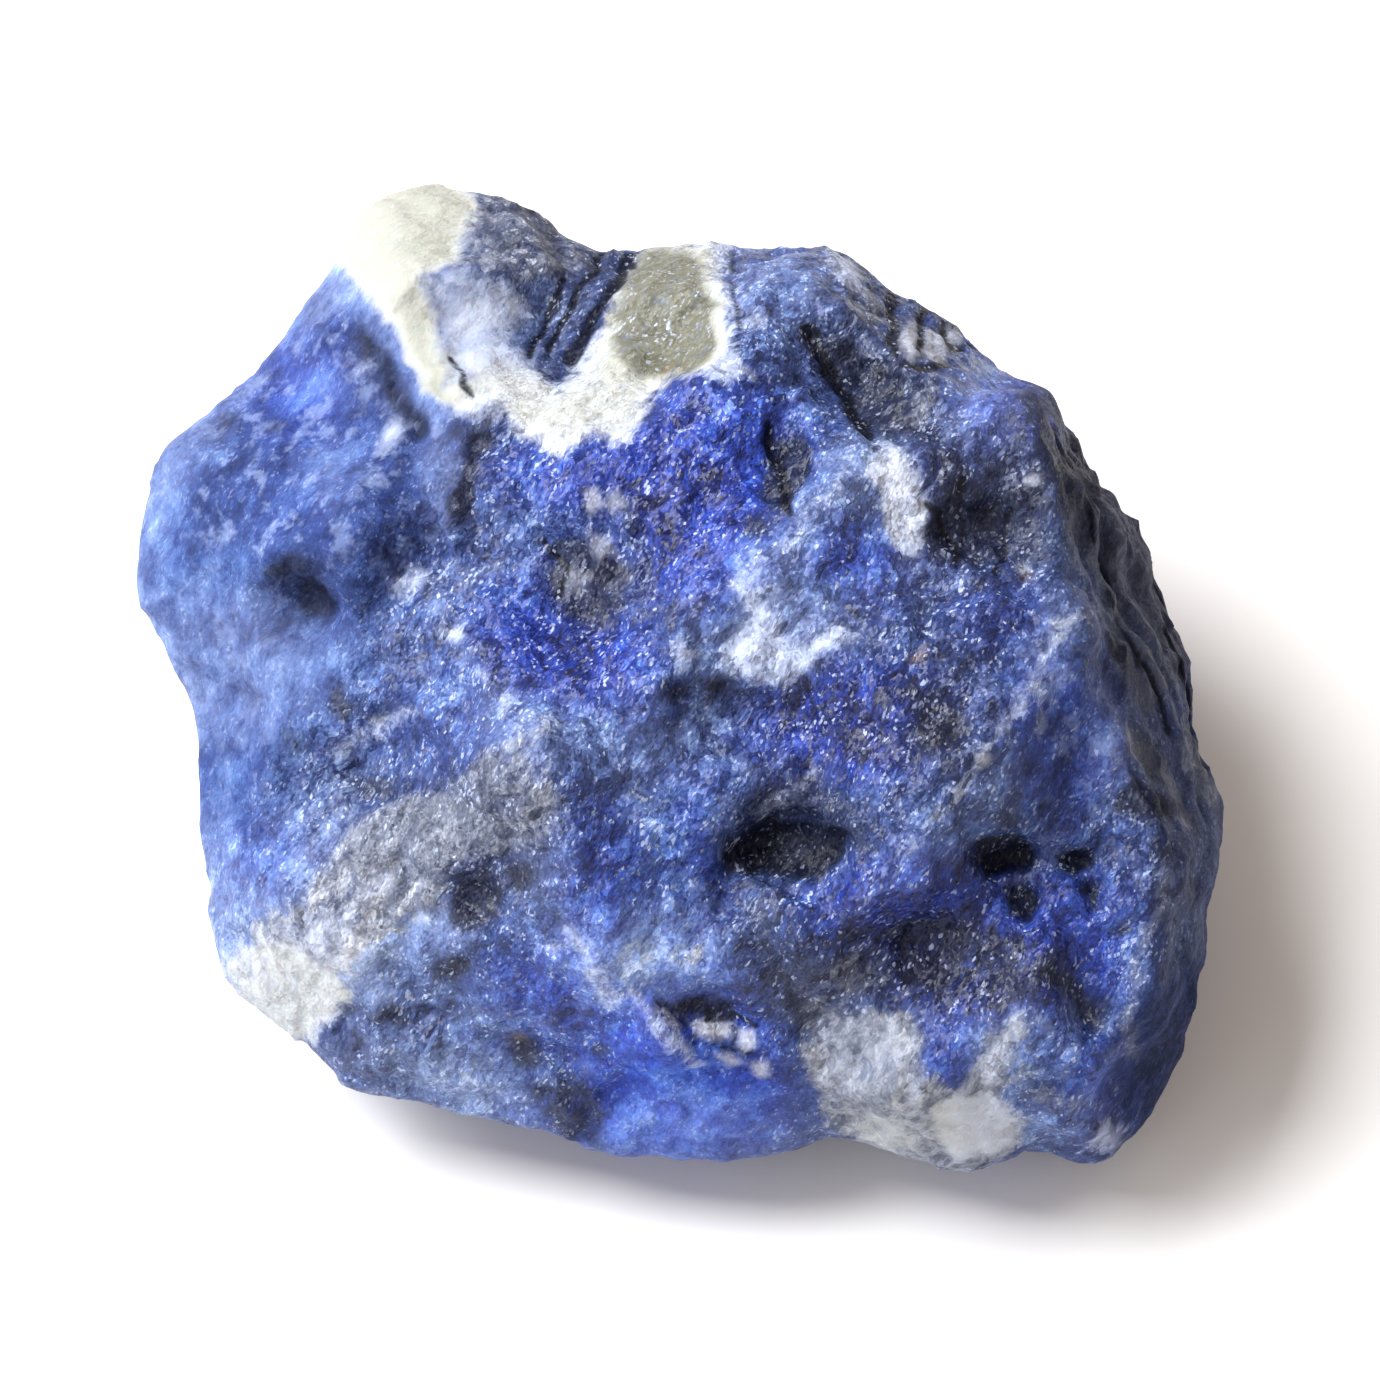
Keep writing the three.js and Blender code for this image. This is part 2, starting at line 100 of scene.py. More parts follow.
# ---- Where the minerals lie ----
KNOB = Area((
    (-14, 17.4), (-12.2, 15.6), (-10.9, 13.6), (-10.2, 12), (-9, 11.6), (-9.3, 13.6), (-10, 15.4),
    (-9.9, 16.6), (-8.6, 17), (-8, 19.6), (-10, 21.4), (-14, 21)
))
KNOB_RIGHT = Area((
    (-8.8, 17), (-8, 20.4), (-6.4, 20.6), (-5, 18.4), (-3.6, 17.9), (-4.4, 16.6), (-6.2, 16.2)
))
VEIL = Area((
    (-10.4, 16.4), (-8.4, 16.9), (-6.6, 16.4), (-6, 15.4), (-6.7, 14.2), (-6.3, 12.8), (-7.6, 11.8),
    (-9.6, 11.8), (-9.6, 14)
))
VEIN_FOOT = Area((
    (-10.2, 12.2), (-8.6, 11.1), (-7.2, 11.2), (-6.4, 10), (-4.6, 9.5), (-3.4, 10.2), (-2, 9.9),
    (-1.2, 11.8), (0.4, 12.7), (-2.4, 15.2), (-3.7, 13.5), (-5, 12.1), (-6.2, 13), (-8.2, 12.6)
))
VEIN_CENTRE = Area((
    (-1.4, 12.2), (1.6, 12.8), (3.2, 12.3), (2.3, 13.5), (2.1, 15), (1.9, 18), (-1.4, 18), (-2.2, 16.4),
    (-2.8, 15), (-2.8, 13.4)
))
WHITE_TRIANGLE = Area((
    (1.9, 4.4), (3.3, 3.8), (4.4, 2.4), (5.6, 2.2), (7.2, 2.2), (5.6, 1.3), (4.4, 0.5), (3.2, 0.2),
    (2.1, 0.8), (1.5, 1.8), (2.6, 2.6)
))
WHITE_CORNER = Area((
    (-18.8, -10.8), (-17.6, -12.8), (-15.4, -14.6), (-13.9, -13.6), (-13, -12), (-14.6, -10.6),
    (-16.6, -9.6)
), 0.75)
VEIN_EDGE = Area((
    (-13.4, -12.4), (-11, -10.2), (-8.8, -9.6), (-8.9, -8.8), (-10.4, -8.6), (-12, -9.6), (-14, -11)
))
GREY_VEIN = Area((
    (-17.6, -9.6), (-15.6, -8.4), (-14.4, -7), (-13.2, -5.4), (-10.6, -4.2), (-8.4, -4), (-7.6, -6.2),
    (-9, -7.4), (-9.6, -8.8), (-12.6, -10.8), (-14.2, -12), (-16.6, -11.6)
), 0.8)
VEIN_TOP = Area((
    (-10.2, -4.8), (-8, -3.2), (-5.6, -2.4), (-4.6, -4.2), (-5.4, -6.4), (-7, -6.8), (-9, -7)
), 0.6)
WHITE_MASS = Area((
    (4.7, -14.4), (6.2, -13.3), (7.6, -12.8), (9.3, -13), (9.6, -14.4), (10.2, -15.6), (11.2, -15.8),
    (11.9, -14.8), (12.9, -13.6), (13.5, -12.9), (13.9, -13.6), (13.2, -14.8), (13, -16.4), (13.9, -17.2),
    (13.2, -18.8), (11.2, -19.6), (8.6, -19), (6.4, -17.6), (5.4, -16)
))
TRENCH = Area((
    (-3.4, 17.9), (-1.8, 17.6), (-2.6, 15.8), (-4.1, 13.4), (-5, 12.2), (-6.2, 13), (-6.4, 14.2),
    (-5.2, 15.6), (-4.6, 16.6)
))
# The upper right side: near-black, partly painted shade of the side turned from the light
DARK_WALL = Area((
    (14.7, 9.4), (16.2, 10), (17.4, 8.4), (19, 6.6), (20.2, 4), (20.8, 1.6), (20.2, 0.2), (19, -1.2),
    (18, -0.6), (17, 2), (16.6, 4), (15.6, 5.8), (15.4, 7.6)
))
DARK_LEDGE = Area(((14.7, 9.8), (16, 10.2), (17, 8.6), (16.8, 7), (16.2, 5.6), (15.5, 6.4), (15.2, 8)), 0.8)
# The right side: slate, darkened as painted shade of the side turned from the light
SHADED_SLATE_WALL = Area((
    (14.6, 8.6), (17, 11), (22, 4), (24, -4), (24, -14), (21, -17), (18.8, -13.4), (19.4, -9.6),
    (19.6, -6.4), (18.4, -4), (17.2, -1), (16.4, 2), (15, 5.6)
))
EYE_POCKET = Area((
    (-1.5, -12.3), (0.2, -11.9), (2, -12), (2.4, -13.2), (3.5, -14.5), (2.8, -15.1), (1, -14.4),
    (-0.6, -13.5)
), 0.52)
MAIN_PIT = Area((
    (1.9, -6.5), (2.3, -5.9), (3.1, -5.7), (3.8, -5.2), (4.8, -5.5), (5.8, -5.6), (6.8, -6), (6.3, -6.8),
    (5.6, -7.2), (4.4, -7.5), (3.2, -7.2), (2.3, -7.1)
))
PIT_HEAD = Area((
    (2.2, -5.8), (2.7, -4.2), (3.7, -3.1), (5.3, -2.8), (6, -3.9), (7.4, -5), (7.9, -6.1), (6.6, -6.8),
    (5, -5.8), (3.2, -6.2)
), 0.58)
BLACK_EDGE = Area((
    (-5.9, -15.8), (-4.8, -15.1), (-3.7, -15.3), (-3, -16.4), (-2.8, -18.6), (-4.4, -18.2), (-5.6, -17.2)
))
RECESS = Area((
    (4.6, 14.7), (6, 14.5), (7.4, 13.7), (9.2, 13.1), (9.5, 11.6), (10.4, 9.8), (8.4, 10.2), (7.6, 10.4),
    (6.6, 11.8), (5.4, 13.2)
), 0.72)
DARK_BLOCKS = Area((
    (9.9, 9.8), (11.4, 9.6), (12.4, 8), (13.4, 8.7), (14.9, 8.7), (14.6, 7), (13.2, 6.4), (13.2, 4.9),
    (11.2, 4.6), (9.6, 5), (9.8, 7.4)
), 0.68)
FLAKE_LEFT = Area(((8.85, 14.3), (9.4, 14.75), (9.6, 14.2), (9.5, 13.5), (9.2, 13.15), (8.8, 13.6)))
FLAKE_MIDDLE = Area(((9.9, 14.3), (10.4, 14.35), (10.65, 13.8), (10.55, 13.15), (10, 13.25), (9.8, 13.8)))
FLAKE_RIGHT = Area(((10.6, 14.9), (11.1, 14.6), (11.25, 13.9), (10.7, 13.85)))
CLEAVED_FACET = Area((
    (-5.6, 4.6), (-5, 5.9), (-3.9, 6.3), (-2.6, 5.8), (-1.8, 4.4), (-2.6, 3), (-4.4, 2.6), (-5.2, 3.4)
), 0.72)
SMALL_PITS = [
    Area(((12, -6.3), (12.9, -6), (13.9, -6.3), (14.2, -7), (13.4, -7.5), (12.4, -7.4), (11.9, -6.9))),
    Area(((13, -8.1), (13.8, -7.9), (14.4, -8.2), (14.1, -8.9), (13.4, -8.9))),
    Area(((15.3, -6.6), (15.8, -6.2), (16.6, -6.5), (16.7, -7.2), (16, -7.4), (15.6, -7.1))),
    Dot(16.7, -8, 0.36, 0.3),
]
WHITE = [  # white veins
    KNOB, VEIN_FOOT, VEIN_CENTRE, WHITE_CORNER, WHITE_TRIANGLE.at(0.8), WHITE_MASS.at(0.36),
    # the veil under the knob
    VEIL.at(0.54), Dot(-8.2, 14.9, 1.4, 0.8, 0.8, 10), Dot(-6.7, 15.4, 0.5, 0.6, 0.7),
    Dot(-7.6, 13.2, 1.8, 0.9, 0.8, -20), Dot(-12.7, 12.7, 0.6, 0.35, 0.55),
    Line(((1.6, 14.6), (3.2, 14.7)), 0.18, 0.8),
    # the pale tip and the edges of the upper right
    Dot(6.8, 16.8, 0.9, 0.5, 0.8, -40), Line(((11, 13.1), (12.4, 12.9), (13.4, 12.7)), 0.2, 0.62),
    # the oval, and the streak down from it, which is partly a painted highlight on a ridge
    Dot(8.75, 7.7, 2.3, 0.95, 0.8, 99), Line(((7, 9), (5.6, 7.6), (3.4, 5.4), (2.2, 4.4)), 0.3, 0.42),
    Dot(0.2, 1.4, 0.5, 0.45, 0.7),
    # bright cleaved places at the head of the main pit, partly painted glints
    Line(((3.3, -5.3), (3.8, -4.6), (4.3, -3.9)), 0.12, 0.48), Line(((4.7, -4), (5.1, -3.3)), 0.22, 0.56),
    Line(((4.7, -5), (5.7, -4.5)), 0.08, 0.45),
    # the line of the ridge, partly a painted highlight on its lit edge
    Line(((16, 3), (15, 1.6), (14, -0.3), (13.2, -1.6)), 0.09, 0.72),
    Line(((13.6, -0.2), (12.6, -2), (11.6, -3.6), (10.4, -5.2), (9.4, -6.6)), 0.09, 0.7),
    # small white places on the left
    Dot(-10.8, 4.2, 0.75, 0.35, 0.75, 15), Dot(-9.3, 2.3, 0.6, 0.6, 0.75), Dot(-11.4, 10.2, 0.5, 0.7, 0.62),
    Line(((-8, 1), (-7, -0.4), (-6.4, -1.2)), 0.2, 0.55), Dot(-5.6, -1.4, 0.7, 0.6, 0.5),
    Line(((-13.8, -2.5), (-12.4, -1.6), (-10.6, -0.8)), 0.25, 0.6),
    # chips along the pale crest, and the line round the eye pocket
    Line(((-4.3, -9.8), (-3.4, -11.2), (-2.6, -12.2)), 0.3, 0.75), Dot(-4.9, -10.4, 0.5, 0.25, 0.7),
    Line(((-1.7, -12.2), (-0.8, -13.4), (0.7, -14.9)), 0.14, 0.85),
    # the bright end of the grey vein, bright places of the white mass, and the lower right tip
    Dot(-15.2, -10.6, 2.9, 1.6, 0.42, 38), Dot(8.2, -13.9, 1.4, 0.9, 0.34),
    Dot(8.2, -17.8, 1.5, 0.8, 0.6, -20), Dot(11.8, -17.4, 1.8, 1.2, 0.95, 10),
    Line(((12, -16.4), (12.6, -14.9), (13.4, -13.4)), 0.4, 0.6), Dot(13.6, -13.5, 0.5, 0.6, 0.55),
    Dot(17, -18, 0.9, 0.6, 0.62, 20),
]
GREY = [  # grey and glassy places
    GREY_VEIN, VEIN_TOP, WHITE_MASS, KNOB_RIGHT.at(0.6), DARK_WALL.at(0.48),
    # glassy flakes of the upper right
    FLAKE_LEFT, FLAKE_MIDDLE, FLAKE_RIGHT, Dot(7.2, 15.4, 1.1, 0.9, 0.55),
    Dot(9.9, 11.8, 0.5, 1.1, 0.6, -20),
    # the ridge that runs down from the right, partly a painted highlight on its edge
    Line(((16.3, 3.2), (15.2, 2), (14.2, 0), (13, -1.5), (11.8, -3.4), (10.2, -5.4)), 0.22, 0.62),
    Line(((19.4, -6.6), (19, -9), (18.5, -11.2), (18, -13), (18.1, -15)), 0.16, 0.8),
    Line(((10.2, -5.4), (8.2, -7.4), (6.8, -9)), 0.3, 0.5), Dot(14.4, -0.9, 0.6, 0.8, 0.42),
    Dot(15.4, 2.4, 1.1, 0.6, 0.6, 50),
    # the upper end of the grey vein
    Line(((-9.4, -4.4), (-6.8, -2.6), (-4.8, -1.2)), 0.6, 0.56), Line(((-7.4, -5.4), (-5.2, -4)), 0.5, 0.5),
    # the granular ground beside the white mass, and the crest
    Dot(6.9, -11.6, 1.1, 0.9, 0.6), Dot(6, -13.2, 1.6, 1, 0.65, -20), Dot(13.4, -15.2, 0.9, 0.6, 0.5),
    Line(((14.4, -16.2), (15.8, -16.6)), 0.4, 0.55), Dot(0.6, -10.6, 1.4, 0.6, 0.45, -10),
    # cleaved places inside the dark ones
    Line(((13, -7.9), (13.7, -7.6), (14.4, -7.1)), 0.2, 0.8), Dot(14.2, 8.6, 0.6, 0.4, 0.6),
    Line(((-5, 15.8), (-5.9, 13.6)), 0.3, 0.55), Line(((-4.2, 15.4), (-5.2, 13.2)), 0.25, 0.5),
    # streaks along the stepped right side
    Line(((17.4, 2.4), (18, 0.8), (18.6, 0)), 0.2, 0.95),
    Line(((18, -1.8), (19.2, -3.2), (20.2, -5.2)), 0.24, 0.95),
    Line(((20.2, -2), (20.8, -3.4), (21.2, -4.4)), 0.2, 0.9), Dot(20.4, -1, 0.2, 0.8, 0.7),
    Dot(19, -1.9, 0.6, 0.5, 0.45, -40),
]
DARK = [  # near-black places, partly painted shade in pits, recesses and at the right side
    MAIN_PIT, PIT_HEAD, RECESS, DARK_BLOCKS, DARK_WALL.at(0.52), EYE_POCKET, DARK_LEDGE, BLACK_EDGE.at(0.7),
    CLEAVED_FACET, SHADED_SLATE_WALL.at(0.26),
    # around the recess, partly painted shade, and the middle
    Line(((5.3, 14), (6.3, 12.3), (7.3, 10.8)), 0.35), Dot(8.2, 12.4, 1.3, 0.7, 0.95, -45),
    Dot(4.3, 8.8, 1.8, 0.75, 1, 84), Dot(3.1, 6.6, 0.9, 0.6, 0.65, 40), Dot(0.8, 11.3, 0.6, 0.6, 0.55),
    Dot(-4.9, 5.5, 0.8, 0.35, 0.9, 35), Dot(-1.9, 7, 0.5, 1.2, 0.55), Dot(-3, 7.4, 1.2, 0.7, 0.5, 10),
    Dot(-1.6, 4.6, 0.4, 1.4, 0.5), Dot(6.9, 3.2, 0.7, 0.3, 0.9, -20), Dot(1.3, -2.6, 0.4, 0.3, 0.6),
    Dot(-1.7, -3.8, 0.5, 0.4, 0.6), Dot(-1.7, -5.2, 0.4, 0.3, 0.55), Dot(13.7, 6.6, 1.2, 1.5, 0.5),
    Dot(12.6, 9, 0.9, 0.6, 0.5),
    # the stepped right side, partly painted shade
    Dot(17.6, 1.6, 1.3, 0.3, 0.95, -65), Dot(20.6, -2.4, 1.6, 0.3, 0.7, -70),
    Dot(18.6, -4.6, 1.3, 0.8, 0.95), Dot(19.2, -6.2, 0.9, 0.8, 0.65), Dot(20.4, -8, 0.3, 1.4, 0.55),
    Dot(19, -2.8, 1.6, 0.5, 0.6, -60),
    # pits of the lower right, partly painted shade
    Dot(8.9, -9.7, 1.3, 0.5, 0.65, 5), Dot(10.7, -9.6, 1.1, 0.6, 0.75), *SMALL_PITS,
    Dot(12.2, -6.4, 0.9, 0.5, 0.8), Dot(15.1, -6.6, 0.5, 0.5, 0.5), Dot(17.8, -9.5, 0.6, 0.35, 0.7),
    # soft dark places elsewhere
    Dot(-14.6, 3.5, 0.8, 1.1, 0.85), Dot(-11.4, -13.1, 0.9, 0.5, 0.75), Dot(-9.5, -14.3, 0.35, 0.5, 0.75),
    Dot(-6.2, -14.4, 0.8, 0.6, 0.78, -20), Dot(-3, -14.4, 0.35, 0.4, 0.8, 30),
    Dot(-0.3, 0, 0.8, 0.5, 0.8, 10), Dot(1.5, 0.2, 0.7, 0.6, 0.85),
    Line(((14.9, -11.2), (15.7, -12), (16.7, -13)), 0.6, 0.85), Dot(10.2, -1.5, 1.3, 1.2, 0.85),
    Dot(10.6, -3.2, 0.6, 0.8, 0.65), Dot(9.4, -0.4, 0.7, 0.5, 0.75), Dot(13.1, -5.4, 0.6, 0.4, 0.75),
    Dot(14.2, -3, 0.35, 0.5, 0.65), Dot(9.9, 3, 0.6, 0.9, 0.5), Dot(12.4, 1.6, 0.5, 0.8, 0.45),
    Line(((2.9, -9.2), (3.8, -10.8), (4.8, -12.8)), 0.45, 0.62), Dot(0.7, -12.6, 1.5, 0.4),
    # the left: soft spots, and the patch under the knob
    Dot(-15.6, 4.8, 1.1, 0.5, 0.75, -10), Dot(-15.6, 2.6, 0.9, 0.35, 0.6, 10),
    Dot(-19.8, 5.4, 0.45, 0.45, 0.6), Dot(-15.9, 10.8, 0.6, 0.5, 0.6), Dot(-12.6, 13.7, 0.5, 1.1, 0.75, 10),
    Line(((-12, 13), (-11.4, 11.8), (-10.6, 10.5)), 0.45, 0.85),
    Line(((-8.1, 10.2), (-8.4, 8.8), (-8.9, 7.4)), 0.5, 0.9), Dot(-12.8, 11.4, 0.5, 0.4, 0.5),
    Dot(-13.3, -0.6, 0.6, 0.9, 0.75), Dot(-12, -1.1, 0.6, 0.4, 0.65), Dot(-12.4, -3.9, 1.3, 0.7, 0.62, -20),
    Dot(-15.4, -2.2, 0.8, 0.6, 0.5),
    # the lower left
    Dot(-12, -7.2, 0.8, 0.5, 0.5), Dot(-8.2, -8.6, 1.2, 1, 0.9, 30), Dot(-6.6, -7.4, 0.9, 0.6, 0.85, 20),
    Dot(-5, -9.2, 0.4, 0.7, 0.6), Dot(-9, -11.2, 0.9, 0.6, 0.8), Dot(-13.2, -13, 0.6, 0.5, 0.65),
    Dot(-4.6, -14.6, 0.6, 0.5, 0.5), Dot(-8.9, -13, 0.6, 0.5, 0.55),
    # beside the knob, and above the trench
    Line(((-9.2, 13.3), (-8.4, 11.9)), 0.14, 0.8), Line(((-5.3, 18.8), (-5, 18)), 0.4, 0.7),
    # grains in the white foot
    Dot(-4.1, 11.2, 0.3, 0.12, 0.9, 30), Dot(-3.2, 13.4, 0.14, 0.25, 0.9),
]
SLATE = [  # blue dimmed to slate under the other minerals, partly painted shade in hollows and at the right
    TRENCH, SHADED_SLATE_WALL.at(0.85), CLEAVED_FACET, RECESS.at(0.8), MAIN_PIT.at(0.8), PIT_HEAD.at(0.6),
    EYE_POCKET.at(0.4), KNOB_RIGHT.at(0.8), VEIL.at(0.3), Dot(-12.6, 12.6, 1.3, 1.8, 0.5),
    Dot(7.4, 14.8, 1.7, 1.3, 0.6), Dot(9, 12, 2.4, 1.8, 0.6, -50), Dot(11.8, 7.2, 2.6, 2.8, 0.85),
    Dot(14.2, 6.4, 1.6, 2.2, 0.6), Dot(19.2, -15, 3.4, 1.3, 0.7, 62), Dot(10.4, -1.8, 2, 2.2, 0.65),
    Line(((2.8, -8.8), (3.9, -11), (5.4, -15)), 0.9, 0.85), Dot(-12.6, -4, 2.4, 1.6, 0.6, -10),
    Dot(-7, -6.6, 2.8, 1.8, 0.7, 25), Dot(-9.8, -12.2, 2.6, 1.4, 0.35), Dot(-12.4, -14.2, 2.4, 1, 0.4, -20),
    Dot(-5.4, -15.4, 1.8, 1.4, 0.55), Dot(0.6, 0, 1.8, 0.9, 0.5), Dot(6.6, -11.6, 1.8, 1.4, 0.5),
    Dot(-15.2, 3.6, 1.8, 1.6, 0.5), Dot(-8.4, 8.6, 0.9, 1.8, 0.5), Dot(14.2, 7.8, 1.6, 1.4, 0.6),
    Dot(11, 2, 1.8, 2.4, 0.3), Dot(14.4, -4, 2.4, 2.2, 0.12), Dot(12, -10.6, 3.4, 1.6, 0.15),
]
WARM = [  # from cool white to olive
    KNOB.at(0.61), VEIN_FOOT.at(0.32), WHITE_CORNER.at(0.4), VEIN_EDGE.at(0.25), WHITE_MASS.at(0.22),
    Dot(-0.5, 15.3, 2.1, 2.9), Dot(0.4, 13.8, 0.8, 0.7, 0.9), Line(((-6, 11), (-2.6, 11.4)), 1, 0.15),
    Dot(8.75, 7.7, 2, 1, 0.16, 99), VEIL.at(0.12), Dot(8.8, -17.2, 2.4, 1.4, 0.2),
    Dot(-2.2, 13.2, 0.8, 0.9, 0.35),
]
PALE = [  # milky places, and a painted glow on the left rim: what these add to the general level
    Line(((-20.6, -1), (-22.4, 3), (-22.4, 7), (-20, 10.6), (-17.4, 14), (-14, 16.8)), 0.9, 0.6),
    Line(((-14.2, 17), (-12.2, 15.2), (-10.9, 13.2), (-10.4, 11.8)), 0.4, 0.6), VEIN_EDGE,
    Line(((-17, -8.6), (-14.6, -6.4), (-13, -4.8)), 0.4, 0.3), Dot(-16.4, 12.6, 4.8, 2, 0.02, 40),
    Dot(-18.2, 1, 4, 3, 0.28), Dot(-18.6, -8.6, 2.8, 1.1, 0.45, 95), Dot(-13.8, 8.8, 1, 0.9, 0.3),
    Dot(-14.2, 12.4, 0.8, 0.5, 0.3), VEIL.at(0.55), Dot(-9.6, 8.8, 0.4, 1.2, 0.4, 10),
    Dot(-6, -1.6, 1.6, 1.6, 0.3), Dot(-1.4, -10.7, 3, 1.7, 0.62, -10), Dot(-5.6, -7.6, 1.2, 1.6, 0.25),
    Dot(0.2, -18, 4.8, 1.8, 0.34), Dot(-7.4, -16, 2.4, 1.2, 0.42, -10), Dot(-10.6, -13.2, 4.2, 2.2, 0.14),
    # the streak down from the oval: partly a painted highlight on a ridge
    Line(((8.4, 10), (6.6, 8.6), (4.4, 6.2), (2.8, 4.6)), 0.5, 0.42), Dot(4.6, 2.6, 3, 1.6, 0.35, 15),
    Dot(8.4, 7.4, 2.6, 1.4, 0.25, 99), Dot(2.4, 3, 2.2, 1.8, 0.2), Dot(-1.4, -2, 3.4, 2, 0.14),
    Dot(12.4, 11.2, 1.8, 1.4, 0.34), Dot(3.8, 16.4, 1.8, 1.6, 0.2), Dot(15.4, 2.4, 1.6, 1, 0.3, 55),
    Dot(17.4, -2.4, 0.8, 1.6, 0.3), Dot(13, -3.6, 1, 1.6, 0.15, -30), Dot(12.9, -13.8, 1.2, 1.2, 0.2),
    Dot(-11.2, -15.4, 4, 1, 0.15, -8), Dot(9.6, -6.6, 1.4, 0.8, 0.25, 40), Dot(10.4, 4.6, 0.9, 0.5, 0.25),
    Dot(21.6, -4.4, 0.5, 1.2, 0.2),
    # the bright end of the grey vein, and the white mass
    Dot(-15, -10.2, 3.4, 2, 0.6, 35), Dot(-12.6, -8.4, 2, 1.4, 0.1, 35), WHITE_MASS.at(0.3),
]
ROYAL = [  # saturated blue
    Dot(-15, 12.4, 2.4, 2, 0.5), Dot(-14.6, 8.4, 2.6, 2.6, 0.1), Dot(-3, 8.6, 4.4, 1.4, 0.8),
    Dot(1.4, 9.4, 3.4, 3), Dot(0.6, 6, 2.4, 2.8, 0.9), Dot(-4.4, 1.6, 4, 2, 0.9, -20),
    Dot(-9.6, -1, 2.6, 1.6, 0.15, 10), Dot(7.2, 5, 1.8, 1.6, 0.8), Dot(7, -1.4, 4, 2.2, 1, 10),
    Dot(12.4, 3.2, 1.6, 1.4, 0.5), Dot(-16.6, -7, 1.4, 1.2, 0.4), Dot(-3.2, -7.6, 1.6, 2.8, 0.6),
    Dot(0.2, -15.8, 4.8, 3.2), Dot(-5.8, -12.2, 2, 1.6, 0.8), Dot(9, -8.2, 3.6, 1.8, 0.8),
    Dot(15.4, -9.8, 2.6, 2.2, 0.8), Dot(10.4, -14.6, 0.8, 1.2, 0.8), Dot(0.8, -6.4, 2, 2.6, 0.5),
    Dot(16.6, -16, 1, 1.8, 0.7), Dot(11.6, -12, 2, 1, 0.7), Dot(13.4, 11.2, 2.4, 1.8, 0.7, -30),
    Dot(19.4, -15, 3, 1.2, 0.4, 62), Dot(-1.4, -11, 3, 1.8, 0.5, -10), Dot(-4, -16, 3, 2, 0.6),
    Dot(15.6, -2, 2.4, 3.6, 0.4), Dot(0.6, -12.8, 2.4, 1.6, 0.6), Dot(10.6, 8, 1.4, 2.4, 0.6),
    Dot(-4, 4.4, 2, 2, 0.5), Dot(9.4, -9.6, 2.6, 1.2, 0.4), Dot(15.6, -12.2, 1.6, 1.2, 0.4),
    Dot(14.6, 11, 1.6, 1.8, 0.3, -30),
]
DEEP = [  # what these take off the general level
    Dot(1.4, 9.4, 3.2, 2.6, 0.12), Dot(-3, 8.6, 4.4, 1.4, 0.1), Dot(0.6, 6, 2, 2.6, 0.1),
    Dot(-4.4, 1.6, 3.4, 1.6, 0.32, -20), Dot(7, -1.2, 3.4, 1.8, 0.42, 10),
    Dot(14.6, 11.1, 1.5, 1.9, 0.85, -30), Dot(9, -8.2, 3.4, 1.8, 0.1), Dot(15.4, -9.8, 2.4, 1.6, 0.12),
    Dot(10.4, -14.6, 0.8, 1.2, 0.15), Dot(12.4, -11.2, 3.4, 1.8, 0.64), Dot(12, -4, 8, 10, 0.06),
    Dot(19.2, -14.8, 3.4, 1.3, 0.7, 62), Dot(0.8, -12.7, 1.6, 0.6, 0.6), Dot(-9, -5.4, 3, 2, 0.34, 35),
    Dot(-4, 4.4, 1.4, 1.4, 0.2), Dot(12.4, -11.8, 1.4, 0.8, 0.3), Dot(11.8, 0.4, 2, 2, 0.12),
]
CRACKS = [  # narrow dark lines between flakes and along ledges: painted shade in cracks
    # round the glassy flakes of the upper right
    Line(((8.5, 16), (8.55, 15), (8.4, 13.9)), 0.22), Line(((9.7, 15.2), (9.72, 14.4), (9.65, 13.5)), 0.16),
    Line(((9, 13), (9.8, 12.95), (10.9, 13)), 0.14), Line(((10.5, 14.7), (10.7, 14), (11.3, 13.7)), 0.14),
    Line(((11.3, 14.7), (11.5, 13.8), (12.4, 13.1)), 0.12), Line(((8.6, 14.9), (8.7, 13.4)), 0.16),
    # the recess, the trench and the knob
    Line(((5.2, 14.4), (6.2, 12.4), (7.6, 10.4)), 0.24),
    Line(((-1.9, 17.4), (-3, 15.6), (-4.4, 13.2)), 0.2),
    Line(((-3.1, 17.5), (-4, 15.9), (-5.2, 13.5)), 0.14),
    Line(((-4.6, 16.4), (-5.5, 14.4), (-6, 13.4)), 0.16), Line(((-9.2, 13.4), (-8.3, 11.8)), 0.12, 0.9),
    Line(((2.2, 17.4), (2, 16), (2.4, 14.6)), 0.14, 0.8),
    # the dark blocks and the stepped right side
    Line(((3.5, 10.6), (3.9, 9), (4.4, 7.2)), 0.2), Line(((11.4, 8.6), (11.2, 7), (11.3, 5.2)), 0.1, 0.9),
    Line(((9.9, 7.4), (10.8, 6.2), (11.2, 5)), 0.12), Line(((13, 7.2), (13.1, 5.6), (12.7, 4.6)), 0.14),
    Line(((15.4, 9.6), (16.4, 7.4), (16.8, 5), (17.6, 2.6), (19, 0.2), (19.6, -1.6)), 0.14, 0.8),
    Line(((18.4, 6.4), (19.2, 4), (20, 1), (20.9, -1.6)), 0.16),
    Line(((17.8, -2.6), (19, -4.2), (19.8, -6.6)), 0.1, 0.75), Line(((20.6, -3.4), (21.2, -5.4)), 0.1, 0.7),
    # the eye pocket, and the edge of the cleaved facet
    Dot(0.9, -12.7, 0.8, 0.34, 0.48, -8), Line(((-1.2, -12.3), (-0.2, -12.9), (0.4, -13.6)), 0.12, 0.8),
    Line(((0.5, -13.1), (2.2, -13.05), (3.1, -13.6)), 0.12, 0.9),
    Line(((2.15, -13.3), (2.2, -14.4)), 0.07, 0.9),
    Line(((0.6, -14.1), (1.9, -14.4), (3.2, -14.7)), 0.1, 0.8),
    Line(((-5.4, 6), (-4.6, 5), (-4.9, 3.6)), 0.16),
]
